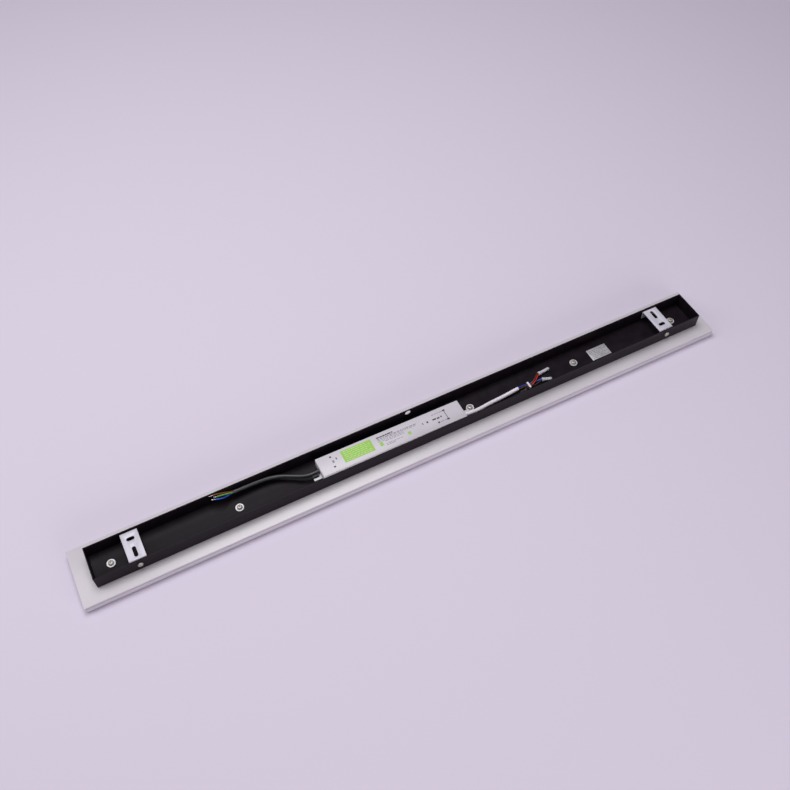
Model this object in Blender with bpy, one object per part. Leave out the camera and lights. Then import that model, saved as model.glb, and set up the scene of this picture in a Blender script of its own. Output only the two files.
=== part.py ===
"""Vanity light bar, lying on its light-giving face with its wall side up.

Metres, +Z up. X runs along the lamp, -Y is the side of the driver, and the origin is on the resting
surface under the middle of the acrylic body.
"""
import math

import bmesh
import bpy
from mathutils import Matrix, Vector

for leftover in list(bpy.data.objects):
    bpy.data.objects.remove(leftover, do_unlink=True)

# Clearance between pieces that touch on the real lamp
GAP = 0.0003

# Back tray: one folded sheet, open towards the wall
TRAY_LENGTH = 0.956
TRAY_WIDTH = 0.050
TRAY_HEIGHT = 0.0242
TRAY_SHEET = 0.0012
TRAY_SHIFT = 0.0025            # the tray sits this far towards +X of the acrylic body's middle
SIDE_HOLE_RADIUS = 0.0045      # spare cable hole in the far wall
SIDE_HOLE_DROP = 0.0062        # its centre, below the rim

# Acrylic body: a shallow shell closed by a back sheet
SHADE_OVERHANG_ENDS = 0.022
SHADE_OVERHANG_SIDES = 0.020
SHADE_SHELL_HEIGHT = 0.0107
SHADE_WALL = 0.003
SHADE_BACK_SHEET = 0.003
SHADE_EDGE = 0.0005

# LED carrier and boards inside the acrylic body
CARRIER_INSET_ENDS = 0.008
CARRIER_INSET_SIDES = 0.002
CARRIER_SHEET = 0.0015
CARRIER_LIP = 0.0030
BOARD_WIDTH = 0.014
BOARD_THICKNESS = 0.0012
BOARD_ROW_OFFSET = 0.013
BOARD_END_INSET = 0.003
BOARD_SPACING = 0.002
LEDS_PER_BOARD = 18
LED_SIZE = (0.0035, 0.0028, 0.0008)

# M4 screws, washers and nuts
SCREW_COUNT = 6
SCREW_END_MARGIN = 0.028       # from the tray's end to its last screw
SHANK_RADIUS = 0.0020
HEAD_RADIUS = 0.0038
HEAD_HEIGHT = 0.0024
HOLE_RADIUS = 0.0023
WASHER_RADIUS = 0.0060
WASHER_THICKNESS = 0.0010
NUT_RADIUS = 0.0038            # corner radius of the hexagon
NUT_THICKNESS = 0.0025
TRAY_SCREW_OVERRUN = 0.0004    # shank past the press nut

# Wall brackets: U-shaped, flanges into the tray, pushed in from the wall side
BRACKET_FROM_END = 0.060
BRACKET_LENGTH = 0.0234        # along the lamp
BRACKET_SHEET = 0.0014
BRACKET_SIDE_CLEARANCE = 0.0013
BRACKET_DROP = 0.0015          # web below the tray's rim
BRACKET_DEPTH = 0.0150
BRACKET_BEND = 0.0016
SLOT_WIDTH = 0.0054
LONG_SLOT_LENGTH = 0.0160
SHORT_SLOT_LENGTH = 0.0108
LONG_SLOT_OFFSET = 0.0098
SHORT_SLOT_OFFSET = 0.0107
LOCK_SCREW_DROP = 0.0105       # lock screw axis below the tray's rim

# LED driver: a slim plastic case that rides on the third tray screw at one end of its middle
DRIVER_LENGTH = 0.2255
DRIVER_WIDTH = 0.0335
DRIVER_BASE_HEIGHT = 0.0114
DRIVER_COVER_HEIGHT = 0.0033
DRIVER_WALL = 0.0015
DRIVER_EDGE = 0.0012
DRIVER_WALL_CLEARANCE = 0.0019  # from the tray's near wall to the case
DRIVER_RIGHT_END = 0.0734
DRIVER_SCREW = 2               # index of the tray screw under the case
DRIVER_RIGHT_LIFT = 0.0016     # case above the tray floor at its right end
DRIVER_PAD_SIZE = (0.030, 0.024)
DRIVER_PAD_INSET = 0.004
LABEL_MARGIN = 0.0016
LABEL_THICKNESS = 0.0002
EAR_LENGTH = 0.0115
EAR_WIDTH = 0.0110
EAR_THICKNESS = 0.0018
EAR_STEP = 0.0002              # ear above the case's underside
EAR_OFFSET = -0.0026
EAR_SLOT = 0.0036
CABLE_HOLE_HEIGHT = 0.0064     # cable axes above the case's underside
INPUT_CABLE_OFFSET = 0.00215   # across the case, from its middle
OUTPUT_CABLE_OFFSET = -0.0065
CABLE_INSIDE = 0.0060          # cable end inside the case

# Inside the driver case
PCB_THICKNESS = 0.0016
PCB_HEIGHT = 0.0034            # underside above the case's underside
PCB_SIDE_CLEARANCE = 0.0008
CLAMP_SIZE = (0.0085, 0.0120)

# Cables and leads
MAINS_CABLE_RADIUS = 0.0029
OUTPUT_CABLE_RADIUS = 0.0030
CABLE_HOLE_CLEARANCE = 0.00035
MAINS_LEAD_RADIUS = 0.0010
LED_LEAD_RADIUS = 0.0009
TIP_RADIUS = 0.0007
TIP_LENGTH = 0.0050
GROMMET_X = 0.1747
GROMMET_Y = -0.0142
GROMMET_HOLE_RADIUS = 0.0045
GROMMET_BORE_RADIUS = 0.0027
GROMMET_FLANGE_RADIUS = 0.0062
GROMMET_FLANGE_HEIGHT = 0.0012
SPLICE_RADIUS = 0.0030
SPLICE_BORE_RADIUS = 0.0025
SPLICE_BORE_DEPTH = 0.0085
TIE_SIZE = (0.0026, 0.0110, 0.0042)
TIE_BAND = 0.0009

# Rating label on the tray floor
RATING_SIZE = (0.0333, 0.0205)
RATING_FROM_SCREW = 0.046      # its middle, past the last but one tray screw
RATING_THICKNESS = 0.0002

# Heights and half widths that follow from the sizes above
SHADE_LENGTH = TRAY_LENGTH + 2 * SHADE_OVERHANG_ENDS
SHADE_WIDTH = TRAY_WIDTH + 2 * SHADE_OVERHANG_SIDES
BACK_SHEET_BOTTOM = SHADE_SHELL_HEIGHT + GAP
BACK_SHEET_TOP = BACK_SHEET_BOTTOM + SHADE_BACK_SHEET
TRAY_BOTTOM = BACK_SHEET_TOP + GAP
TRAY_FLOOR = TRAY_BOTTOM + TRAY_SHEET
TRAY_RIM = TRAY_BOTTOM + TRAY_HEIGHT
TRAY_INSIDE = TRAY_WIDTH / 2 - TRAY_SHEET
CARRIER_TOP = BACK_SHEET_BOTTOM - GAP
CARRIER_BOTTOM = CARRIER_TOP - CARRIER_SHEET
NUT_BOTTOM = CARRIER_BOTTOM - NUT_THICKNESS
CARRIER_LENGTH = TRAY_LENGTH - 2 * CARRIER_INSET_ENDS
CARRIER_WIDTH = TRAY_WIDTH - 2 * CARRIER_INSET_SIDES
WASHER_BOTTOM = TRAY_FLOOR + GAP
HEAD_BOTTOM = WASHER_BOTTOM + WASHER_THICKNESS + GAP
HEAD_TOP = HEAD_BOTTOM + HEAD_HEIGHT
SCREW_PITCH = (TRAY_LENGTH - 2 * SCREW_END_MARGIN) / (SCREW_COUNT - 1)
SCREW_PLACES = [(i - (SCREW_COUNT - 1) / 2) * SCREW_PITCH for i in range(SCREW_COUNT)]
BRACKET_TOP = TRAY_RIM - BRACKET_DROP
BRACKET_HALF_WIDTH = TRAY_INSIDE - BRACKET_SIDE_CLEARANCE
LOCK_SCREW_Z = TRAY_RIM - LOCK_SCREW_DROP


# ---------------------------------------------------------------- materials and objects

def material(name, colour, roughness, metallic=0.0):
    """A plain surface of one colour."""
    made = bpy.data.materials.get(name)
    if made:
        return made
    made = bpy.data.materials.new(name)
    made.use_nodes = True
    shader = made.node_tree.nodes["Principled BSDF"]
    shader.inputs["Base Color"].default_value = (*colour, 1.0)
    shader.inputs["Roughness"].default_value = roughness
    shader.inputs["Metallic"].default_value = metallic
    return made


BLACK_COAT = ("black_powder_coat", (0.012, 0.011, 0.013), 0.55)
OPAL = ("opal_acrylic", (0.62, 0.60, 0.62), 0.3)
ZINC = ("zinc_plate", (0.70, 0.69, 0.72), 0.35, 0.9)
ALUMINIUM = ("aluminium_sheet", (0.75, 0.76, 0.78), 0.4, 1.0)
BOARD_WHITE = ("white_board", (0.85, 0.86, 0.86), 0.4)
BOARD_GREEN = ("green_board", (0.03, 0.20, 0.07), 0.45)
CASE_WHITE = ("case_white", (0.78, 0.77, 0.80), 0.45)
LABEL_PRINT = ("label_print", (0.82, 0.82, 0.84), 0.4)
RUBBER = ("black_rubber", (0.015, 0.015, 0.016), 0.8)
FOAM = ("grey_foam", (0.20, 0.20, 0.21), 0.95)
BLACK_PVC = ("black_pvc", (0.012, 0.012, 0.014), 0.4)
WHITE_PVC = ("white_pvc", (0.80, 0.79, 0.82), 0.4)
BROWN_PVC = ("brown_pvc", (0.16, 0.05, 0.02), 0.4)
BLUE_PVC = ("blue_pvc", (0.02, 0.07, 0.30), 0.4)
EARTH_PVC = ("yellow_green_pvc", (0.60, 0.50, 0.03), 0.4)
RED_PVC = ("red_pvc", (0.50, 0.02, 0.02), 0.4)
TINNED = ("tinned_copper", (0.70, 0.69, 0.66), 0.3, 1.0)
NYLON = ("clear_nylon", (0.75, 0.77, 0.80), 0.25)
SILVER_LABEL = ("silver_label", (0.62, 0.62, 0.64), 0.35, 0.4)
FERRITE = ("ferrite", (0.03, 0.03, 0.03), 0.5)
CAPACITOR = ("capacitor_sleeve", (0.02, 0.02, 0.05), 0.35)


def place(name, shape, finish, location=(0, 0, 0), parent=None, turn=(0, 0, 0), smooth=None):
    """Turn a bmesh into a named object; smooth is the angle under which edges are shaded round."""
    bmesh.ops.remove_doubles(shape, verts=shape.verts, dist=1e-7)
    bmesh.ops.recalc_face_normals(shape, faces=shape.faces)
    mesh = bpy.data.meshes.new(name)
    shape.to_mesh(mesh)
    shape.free()
    if smooth:
        mesh.shade_smooth()
        mesh.set_sharp_from_angle(angle=math.radians(smooth))
    mesh.materials.append(material(*finish))
    piece = bpy.data.objects.new(name, mesh)
    bpy.context.collection.objects.link(piece)
    piece.location = location
    piece.rotation_euler = turn
    piece.parent = parent
    return piece


def seat(name, location, turn=(0, 0, 0)):
    """An empty that pieces are parented to."""
    made = bpy.data.objects.new(name, None)
    bpy.context.collection.objects.link(made)
    made.location = location
    made.rotation_euler = turn
    return made


def combine(piece, operation, name, shape):
    """Add a closed shape, given in the piece's own axes, to it or take it away."""
    tool = place(name, shape, BLACK_COAT, piece.location, piece.parent, piece.rotation_euler)
    tool.hide_render = True
    tool.display_type = "WIRE"
    step = piece.modifiers.new(name, "BOOLEAN")
    step.operation = operation
    step.solver = "EXACT"
    step.object = tool


def cut(piece, name, shape):
    """Take a closed shape away from a piece."""
    combine(piece, "DIFFERENCE", name, shape)


# ---------------------------------------------------------------- shapes

def add_block(shape, low, high):
    """A box between two corners; gives back its vertices."""
    size = Vector(high) - Vector(low)
    middle = (Vector(high) + Vector(low)) / 2
    fit = Matrix.Translation(middle) @ Matrix.Diagonal((*size, 1.0))
    return bmesh.ops.create_cube(shape, size=1.0, matrix=fit)["verts"]


def block(low, high, edge=0.0, sharp="bottom"):
    """A box with rounded edges, apart from those round its sharp side (bottom, top or none)."""
    shape = bmesh.new()
    add_block(shape, low, high)
    if edge:
        flat = {"bottom": low[2], "top": high[2], "none": None}[sharp]
        soft = [e for e in shape.edges
                if flat is None or any(abs(v.co.z - flat) > 1e-6 for v in e.verts)]
        bmesh.ops.bevel(shape, geom=soft, offset=edge, segments=2, profile=0.5, affect="EDGES")
    return shape


def hollow(piece, low, high, wall, open_side):
    """Empty a box that stands between two corners, leaving walls, through its open side."""
    inner_low, inner_high = Vector(low) + Vector((wall,) * 3), Vector(high) - Vector((wall,) * 3)
    if open_side == "top":
        inner_high.z = high[2] + wall
    else:
        inner_low.z = low[2] - wall
    cut(piece, f"{piece.name}_hollow", block(inner_low, inner_high))


def add_turned(shape, profile, middle, axis=(0, 0, 1), steps=16):
    """Turn a profile of (radius, height) pairs round an axis; a radius of 0 makes a point."""
    to_axis = Vector(axis).to_track_quat("Z", "Y")
    rings = []
    for radius, height in profile:
        count = steps if radius > 0 else 1
        ring = []
        for i in range(count):
            angle = 2 * math.pi * i / steps
            spot = Vector((radius * math.cos(angle), radius * math.sin(angle), height))
            ring.append(shape.verts.new(Vector(middle) + to_axis @ spot))
        rings.append(ring)
    for below, above in zip(rings, rings[1:]):
        for i in range(steps):
            j = (i + 1) % steps
            corners = [below[i % len(below)], below[j % len(below)],
                       above[j % len(above)], above[i % len(above)]]
            loop = list(dict.fromkeys(corners))
            if len(loop) > 2:
                shape.faces.new(loop)


def add_prism(shape, outline, along):
    """Push a flat outline of points along a vector."""
    face = shape.faces.new([shape.verts.new(p) for p in outline])
    pushed = bmesh.ops.extrude_face_region(shape, geom=[face], use_keep_orig=True)
    moved = [v for v in pushed["geom"] if isinstance(v, bmesh.types.BMVert)]
    bmesh.ops.translate(shape, verts=moved, vec=along)


def arc(middle_u, middle_v, radius, start, end, steps):
    """Points of a circular arc, in degrees, both ends counted."""
    turns = [math.radians(start + (end - start) * i / steps) for i in range(steps + 1)]
    return [(middle_u + radius * math.cos(t), middle_v + radius * math.sin(t)) for t in turns]


def slot_outline(length, width, steps=8):
    """A slot with round ends, along its first axis, about its middle."""
    run = (length - width) / 2
    return arc(run, 0, width / 2, -90, 90, steps) + arc(-run, 0, width / 2, 90, 270, steps)


def head_profile(bottom, height, radius):
    """A pan head from its underside at bottom to its domed top, as far as the axis."""
    dome = [(radius * u, bottom + height * v) for u, v in ((1, 0), (1, 0.45), (0.86, 0.8), (0.5, 1))]
    return dome + [(0, bottom + height)]


def screw_profile(head_bottom, shank_end, height=HEAD_HEIGHT, radius=HEAD_RADIUS):
    """A pan-head screw whose head looks towards +Z, from the shank's end up."""
    tip = shank_end + 0.25 * SHANK_RADIUS
    shank = [(0, shank_end), (0.75 * SHANK_RADIUS, shank_end), (SHANK_RADIUS, tip)]
    return shank + [(SHANK_RADIUS, head_bottom)] + head_profile(head_bottom, height, radius)


def ring_profile(outer, inner, bottom, top):
    """A plain ring, closed back to its first corner."""
    return [(inner, bottom), (outer, bottom), (outer, top), (inner, top), (inner, bottom)]


# ---------------------------------------------------------------- acrylic body

def build_acrylic():
    half = SHADE_LENGTH / 2, SHADE_WIDTH / 2
    low, high = (-half[0], -half[1], 0), (half[0], half[1], SHADE_SHELL_HEIGHT)
    front = place("acrylic_front", block(low, high, SHADE_EDGE, "top"), OPAL)
    hollow(front, low, high, SHADE_WALL, "top")
    sheet = block((-half[0], -half[1], BACK_SHEET_BOTTOM), (half[0], half[1], BACK_SHEET_TOP),
                  SHADE_EDGE)
    back = place("acrylic_back", sheet, OPAL)
    cut(back, "acrylic_back_holes", floor_holes(BACK_SHEET_BOTTOM, BACK_SHEET_TOP))


def floor_holes(bottom, top):
    """Cutters for the six tray screws and the LED leads, through one sheet."""
    shape = bmesh.new()
    reach = TRAY_SHEET
    rod = [(0, bottom - reach), (HOLE_RADIUS, bottom - reach), (HOLE_RADIUS, top + reach),
           (0, top + reach)]
    for x in SCREW_PLACES:
        add_turned(shape, rod, (x, 0, 0))
    wires = [(0, bottom - reach), (GROMMET_HOLE_RADIUS, bottom - reach),
             (GROMMET_HOLE_RADIUS, top + reach), (0, top + reach)]
    add_turned(shape, wires, (GROMMET_X, GROMMET_Y, 0))
    return shape


# ---------------------------------------------------------------- LED carrier and boards

def build_carrier():
    half = CARRIER_WIDTH / 2
    lip_in = half - CARRIER_SHEET
    lip_end = CARRIER_BOTTOM - CARRIER_LIP
    section = [(-half, CARRIER_TOP), (half, CARRIER_TOP), (half, lip_end), (lip_in, lip_end),
               (lip_in, CARRIER_BOTTOM), (-lip_in, CARRIER_BOTTOM), (-lip_in, lip_end),
               (-half, lip_end)]
    shape = bmesh.new()
    start = -CARRIER_LENGTH / 2
    add_prism(shape, [(start, y, z) for y, z in section], (CARRIER_LENGTH, 0, 0))
    carrier = place("led_carrier", shape, ALUMINIUM)
    press_nuts = bmesh.new()
    rod = [(0, NUT_BOTTOM), (NUT_RADIUS, NUT_BOTTOM), (NUT_RADIUS, CARRIER_BOTTOM + CARRIER_SHEET / 3),
           (0, CARRIER_BOTTOM + CARRIER_SHEET / 3)]
    for x in SCREW_PLACES:
        add_turned(press_nuts, rod, (x, 0, 0), steps=12)
    combine(carrier, "UNION", "press_nuts", press_nuts)
    cut(carrier, "carrier_holes", floor_holes(NUT_BOTTOM, CARRIER_TOP))


def board_places():
    """Middle of each of the four boards, in two rows of two, and their length."""
    length = (CARRIER_LENGTH - 2 * BOARD_END_INSET - BOARD_SPACING) / 2
    step = (length + BOARD_SPACING) / 2
    return [(sx * step, sy * BOARD_ROW_OFFSET) for sy in (-1, 1) for sx in (-1, 1)], length


def build_boards():
    places, length = board_places()
    top = CARRIER_BOTTOM - GAP
    bottom = top - BOARD_THICKNESS
    pitch = length / LEDS_PER_BOARD
    for number, (x, y) in enumerate(places, start=1):
        low = (x - length / 2, y - BOARD_WIDTH / 2, bottom)
        high = (x + length / 2, y + BOARD_WIDTH / 2, top)
        board = place(f"led_board_{number}", block(low, high), BOARD_WHITE)
        leds = bmesh.new()
        for i in range(LEDS_PER_BOARD):
            led_x = x - length / 2 + (i + 0.5) * pitch
            add_block(leds, (led_x - LED_SIZE[0] / 2, y - LED_SIZE[1] / 2, bottom - LED_SIZE[2]),
                      (led_x + LED_SIZE[0] / 2, y + LED_SIZE[1] / 2, bottom + BOARD_THICKNESS / 3))
        combine(board, "UNION", f"leds_{number}", leds)


# ---------------------------------------------------------------- back tray and its fixings

def bracket_places():
    """Middle of each bracket along the lamp, with the side its long slot is on."""
    reach = TRAY_LENGTH / 2 - BRACKET_FROM_END
    return {"left": (TRAY_SHIFT - reach, -1), "right": (TRAY_SHIFT + reach, 1)}


def tray_side(name, low, high, cutters):
    """One upstanding side of the tray, cut by the closed shapes that a call makes."""
    side = place(name, block(low, high), BLACK_COAT)
    for cutter_name, make in cutters:
        cut(side, f"{name}_{cutter_name}", make())


def lock_screw_holes():
    """Cutters for the tapped holes that the lock screws turn in."""
    holes = bmesh.new()
    rod = [(0, -TRAY_WIDTH), (HOLE_RADIUS, -TRAY_WIDTH), (HOLE_RADIUS, TRAY_WIDTH), (0, TRAY_WIDTH)]
    for x, _side in bracket_places().values():
        add_turned(holes, rod, (x, 0, LOCK_SCREW_Z), (0, 1, 0))
    return holes


def side_hole():
    """Cutter for the spare cable hole in the far wall."""
    hole = bmesh.new()
    rod = [(0, -2 * TRAY_SHEET), (SIDE_HOLE_RADIUS, -2 * TRAY_SHEET),
           (SIDE_HOLE_RADIUS, 2 * TRAY_SHEET), (0, 2 * TRAY_SHEET)]
    middle = (0, (TRAY_WIDTH - TRAY_SHEET) / 2, TRAY_RIM - SIDE_HOLE_DROP)
    add_turned(hole, rod, middle, (0, 1, 0), 20)
    return hole


def build_tray():
    """The folded sheet as its five flats, a floor and four sides, with a clearance at each fold."""
    half = TRAY_LENGTH / 2, TRAY_WIDTH / 2
    left, right = TRAY_SHIFT - half[0], TRAY_SHIFT + half[0]
    floor = block((left, -half[1], TRAY_BOTTOM), (right, half[1], TRAY_FLOOR))
    cut(place("tray_floor", floor, BLACK_COAT), "tray_floor_holes", floor_holes(TRAY_BOTTOM, TRAY_FLOOR))
    foot = TRAY_FLOOR + GAP
    holes = ("lock_holes", lock_screw_holes)
    tray_side("tray_wall_near", (left, -half[1], foot), (right, -TRAY_INSIDE, TRAY_RIM), [holes])
    tray_side("tray_wall_far", (left, TRAY_INSIDE, foot), (right, half[1], TRAY_RIM),
              [holes, ("cable_hole", side_hole)])
    reach = TRAY_INSIDE - GAP
    tray_side("tray_end_left", (left, -reach, foot), (left + TRAY_SHEET, reach, TRAY_RIM), [])
    tray_side("tray_end_right", (right - TRAY_SHEET, -reach, foot), (right, reach, TRAY_RIM), [])


def build_tray_fixings():
    ring = ring_profile(WASHER_RADIUS, HOLE_RADIUS, 0, WASHER_THICKNESS)
    shank_end = NUT_BOTTOM - TRAY_SCREW_OVERRUN - HEAD_BOTTOM
    for number, x in enumerate(SCREW_PLACES, start=1):
        washer = bmesh.new()
        add_turned(washer, ring, (0, 0, 0), steps=20)
        place(f"tray_washer_{number}", washer, ZINC, (x, 0, WASHER_BOTTOM), smooth=40)
        screw = bmesh.new()
        add_turned(screw, screw_profile(0, shank_end), (0, 0, 0))
        place(f"tray_screw_{number}", screw, ZINC, (x, 0, HEAD_BOTTOM), smooth=40)


def build_grommet():
    """Rubber bush with a flange on each face of the tray floor and a waist in the hole."""
    waist = GROMMET_HOLE_RADIUS - GAP
    low = TRAY_FLOOR + GAP
    profile = [(GROMMET_BORE_RADIUS, TRAY_BOTTOM), (waist, TRAY_BOTTOM), (waist, low),
               (GROMMET_FLANGE_RADIUS, low), (GROMMET_FLANGE_RADIUS, low + GROMMET_FLANGE_HEIGHT / 2),
               (waist, low + GROMMET_FLANGE_HEIGHT), (GROMMET_BORE_RADIUS, low + GROMMET_FLANGE_HEIGHT),
               (GROMMET_BORE_RADIUS, TRAY_BOTTOM)]
    shape = bmesh.new()
    add_turned(shape, profile, (GROMMET_X, GROMMET_Y, 0))
    place("wire_grommet", shape, RUBBER, smooth=40)


def build_rating_label():
    middle = SCREW_PLACES[-2] + RATING_FROM_SCREW
    low = (middle - RATING_SIZE[0] / 2, -RATING_SIZE[1] / 2, TRAY_FLOOR + GAP)
    high = (middle + RATING_SIZE[0] / 2, RATING_SIZE[1] / 2, TRAY_FLOOR + GAP + RATING_THICKNESS)
    place("rating_label", block(low, high), SILVER_LABEL)


# ---------------------------------------------------------------- wall brackets and lock screws

def bracket_section():
    """The U in the Y-Z plane, seen from its seat: web top at 0, flanges down."""
    half, sheet, bend = BRACKET_HALF_WIDTH, BRACKET_SHEET, BRACKET_BEND
    outer = [(half, -BRACKET_DEPTH)] + arc(half - bend, -bend, bend, 0, 90, 4)
    outer += arc(bend - half, -bend, bend, 90, 180, 4) + [(-half, -BRACKET_DEPTH)]
    inside = half - sheet
    inner = [(-inside, -BRACKET_DEPTH), (-inside, -sheet), (inside, -sheet), (inside, -BRACKET_DEPTH)]
    return outer + inner


def build_bracket(side, x, slot_side):
    """One bracket with its slots, and the two lock screws whose tips bear on its flanges."""
    start = -BRACKET_LENGTH / 2
    shape = bmesh.new()
    add_prism(shape, [(start, y, z) for y, z in bracket_section()], (BRACKET_LENGTH, 0, 0))
    frame = seat(f"{side}_bracket_seat", (x, 0, BRACKET_TOP))
    bracket = place(f"wall_bracket_{side}", shape, ZINC, parent=frame, smooth=30)

    slots = bmesh.new()
    reach = BRACKET_SHEET
    long_y = slot_side * LONG_SLOT_OFFSET
    add_prism(slots, [(u, long_y + v, -2 * reach) for v, u in slot_outline(LONG_SLOT_LENGTH, SLOT_WIDTH)],
              (0, 0, 3 * reach))
    short_y = -slot_side * SHORT_SLOT_OFFSET
    add_prism(slots, [(u, short_y + v, -2 * reach) for u, v in slot_outline(SHORT_SLOT_LENGTH, SLOT_WIDTH)],
              (0, 0, 3 * reach))
    cut(bracket, f"{side}_wall_screw_slots", slots)

    screw_z = LOCK_SCREW_Z - BRACKET_TOP
    head_bottom = TRAY_WIDTH / 2 + GAP
    shank_end = BRACKET_HALF_WIDTH + GAP
    for which, way in (("near", -1), ("far", 1)):
        screw = bmesh.new()
        add_turned(screw, screw_profile(head_bottom, shank_end), (0, 0, 0), (0, way, 0))
        place(f"lock_screw_{side}_{which}", screw, ZINC, (0, 0, screw_z), frame, smooth=40)


# ---------------------------------------------------------------- LED driver

DRIVER_HEIGHT = DRIVER_BASE_HEIGHT + GAP + DRIVER_COVER_HEIGHT
DRIVER_X = DRIVER_RIGHT_END - DRIVER_LENGTH / 2
DRIVER_Y = -TRAY_INSIDE + DRIVER_WALL_CLEARANCE + DRIVER_WIDTH / 2
RIGHT_UNDERSIDE = TRAY_FLOOR + DRIVER_RIGHT_LIFT
SCREW_UNDERSIDE = HEAD_TOP + GAP
DRIVER_SLOPE = (SCREW_UNDERSIDE - RIGHT_UNDERSIDE) / (DRIVER_RIGHT_END - SCREW_PLACES[DRIVER_SCREW])


def driver_underside(x):
    """Height of the case's underside, which slopes down from the screw head to the right end."""
    return RIGHT_UNDERSIDE + DRIVER_SLOPE * (DRIVER_RIGHT_END - x)


def driver_ear(way):
    """Mounting ear at one end of the case, with an open slot for a screw."""
    ear = bmesh.new()
    root, tip = DRIVER_LENGTH / 2 - DRIVER_WALL / 2, DRIVER_LENGTH / 2 + EAR_LENGTH
    slot_root = DRIVER_LENGTH / 2 + EAR_SLOT
    near, far = EAR_OFFSET - EAR_WIDTH / 2, EAR_OFFSET + EAR_WIDTH / 2
    rim = arc(slot_root, EAR_OFFSET, EAR_SLOT / 2, 90, 270, 6)
    outline = [(root, near), (tip, near), (tip, EAR_OFFSET - EAR_SLOT / 2)] + rim[::-1]
    outline += [(tip, EAR_OFFSET + EAR_SLOT / 2), (tip, far), (root, far)]
    add_prism(ear, [(way * u, v, EAR_STEP) for u, v in outline], (0, 0, EAR_THICKNESS))
    return ear


def build_driver_case(frame):
    half = DRIVER_LENGTH / 2, DRIVER_WIDTH / 2
    low, high = (-half[0], -half[1], 0), (half[0], half[1], DRIVER_BASE_HEIGHT)
    base = place("driver_base", block(low, high, DRIVER_EDGE, "top"), CASE_WHITE, parent=frame)
    for way in (-1, 1):
        combine(base, "UNION", f"ear_{way}", driver_ear(way))
    hollow(base, low, high, DRIVER_WALL, "top")

    holes = bmesh.new()
    for way, offset, radius in ((-1, INPUT_CABLE_OFFSET, MAINS_CABLE_RADIUS),
                                (1, OUTPUT_CABLE_OFFSET, OUTPUT_CABLE_RADIUS)):
        opening = radius + CABLE_HOLE_CLEARANCE
        rod = [(0, half[0] - 2 * DRIVER_WALL), (opening, half[0] - 2 * DRIVER_WALL),
               (opening, half[0] + DRIVER_WALL), (0, half[0] + DRIVER_WALL)]
        add_turned(holes, rod, (0, offset, CABLE_HOLE_HEIGHT), (way, 0, 0))
    cut(base, "case_cable_holes", holes)

    low, high = (-half[0], -half[1], DRIVER_BASE_HEIGHT + GAP), (half[0], half[1], DRIVER_HEIGHT)
    cover = place("driver_cover", block(low, high, DRIVER_EDGE), CASE_WHITE, parent=frame)
    hollow(cover, low, high, DRIVER_WALL, "bottom")

    reach = half[0] - LABEL_MARGIN, half[1] - LABEL_MARGIN
    label_low = (-reach[0], -reach[1], DRIVER_HEIGHT + GAP)
    label_high = (reach[0], reach[1], DRIVER_HEIGHT + GAP + LABEL_THICKNESS)
    place("driver_label", block(label_low, label_high), LABEL_PRINT, parent=frame)


def build_driver_inside(frame):
    half_width = DRIVER_WIDTH / 2 - DRIVER_WALL - PCB_SIDE_CLEARANCE
    clamp_end = DRIVER_LENGTH / 2 - DRIVER_WALL - GAP
    board_end = clamp_end - CLAMP_SIZE[0] - GAP
    top = PCB_HEIGHT + PCB_THICKNESS
    board = place("driver_pcb", block((-board_end, -half_width, PCB_HEIGHT), (board_end, half_width, top)),
                  BOARD_GREEN, parent=frame)

    seat_z = top + GAP
    roof = DRIVER_HEIGHT - DRIVER_WALL - GAP
    for name, way, offset, radius in (
            ("input_cable_clamp", -1, INPUT_CABLE_OFFSET, MAINS_CABLE_RADIUS),
            ("output_cable_clamp", 1, OUTPUT_CABLE_OFFSET, OUTPUT_CABLE_RADIUS)):
        ends = sorted((way * clamp_end, way * (clamp_end - CLAMP_SIZE[0])))
        foot = DRIVER_WALL + GAP
        low = (ends[0], offset - CLAMP_SIZE[1] / 2, foot)
        high = (ends[1], offset + CLAMP_SIZE[1] / 2, 2 * CABLE_HOLE_HEIGHT - foot)
        clamp = place(name, block(low, high, 0.0006), CASE_WHITE, parent=frame)
        bore = bmesh.new()
        opening = radius + CABLE_HOLE_CLEARANCE
        rod = [(0, 0), (opening, 0), (opening, DRIVER_LENGTH), (0, DRIVER_LENGTH)]
        start = clamp_end - CABLE_INSIDE - GAP
        add_turned(bore, rod, (way * start, offset, CABLE_HOLE_HEIGHT), (way, 0, 0))
        cut(clamp, f"{name}_bore", bore)

    tall = roof - seat_z

    def box_shape(x, y, size, low_z):
        low = (x - size[0] / 2, y - size[1] / 2, low_z)
        return block(low, (low[0] + size[0], low[1] + size[1], seat_z + size[2]), 0.0004)

    for name, x, y, size in (("film_capacitor", -0.060, 0.004, (0.0150, 0.0080, tall * 0.9)),
                             ("heat_sink", 0.036, -0.0105, (0.0200, 0.0016, tall * 0.95)),
                             ("fuse", -0.095, -0.008, (0.0100, 0.0050, tall * 0.6))):
        combine(board, "UNION", f"{name}_on_board", box_shape(x, y, size, top - PCB_THICKNESS / 3))
    for name, x, y, size in (("driver_choke", -0.080, 0.000, (0.0120, 0.0140, tall * 0.85)),
                             ("driver_transformer", 0.010, 0.000, (0.0260, 0.0200, tall * 0.95))):
        place(name, box_shape(x, y, size, seat_z), FERRITE, parent=frame)

    def lying_can(name, x, y, radius, length, finish):
        can = bmesh.new()
        add_turned(can, [(0, 0), (radius, 0), (radius, length), (0, length)], (0, 0, 0), (1, 0, 0), 14)
        place(name, can, finish, (x, y, seat_z + radius), frame, smooth=40)

    lying_can("driver_mains_capacitor", -0.040, 0.000, 0.0038, 0.0240, CAPACITOR)
    lying_can("driver_output_capacitor_1", 0.060, -0.0050, 0.0036, 0.0200, CAPACITOR)
    lying_can("driver_output_capacitor_2", 0.060, 0.0050, 0.0036, 0.0200, CAPACITOR)


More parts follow.
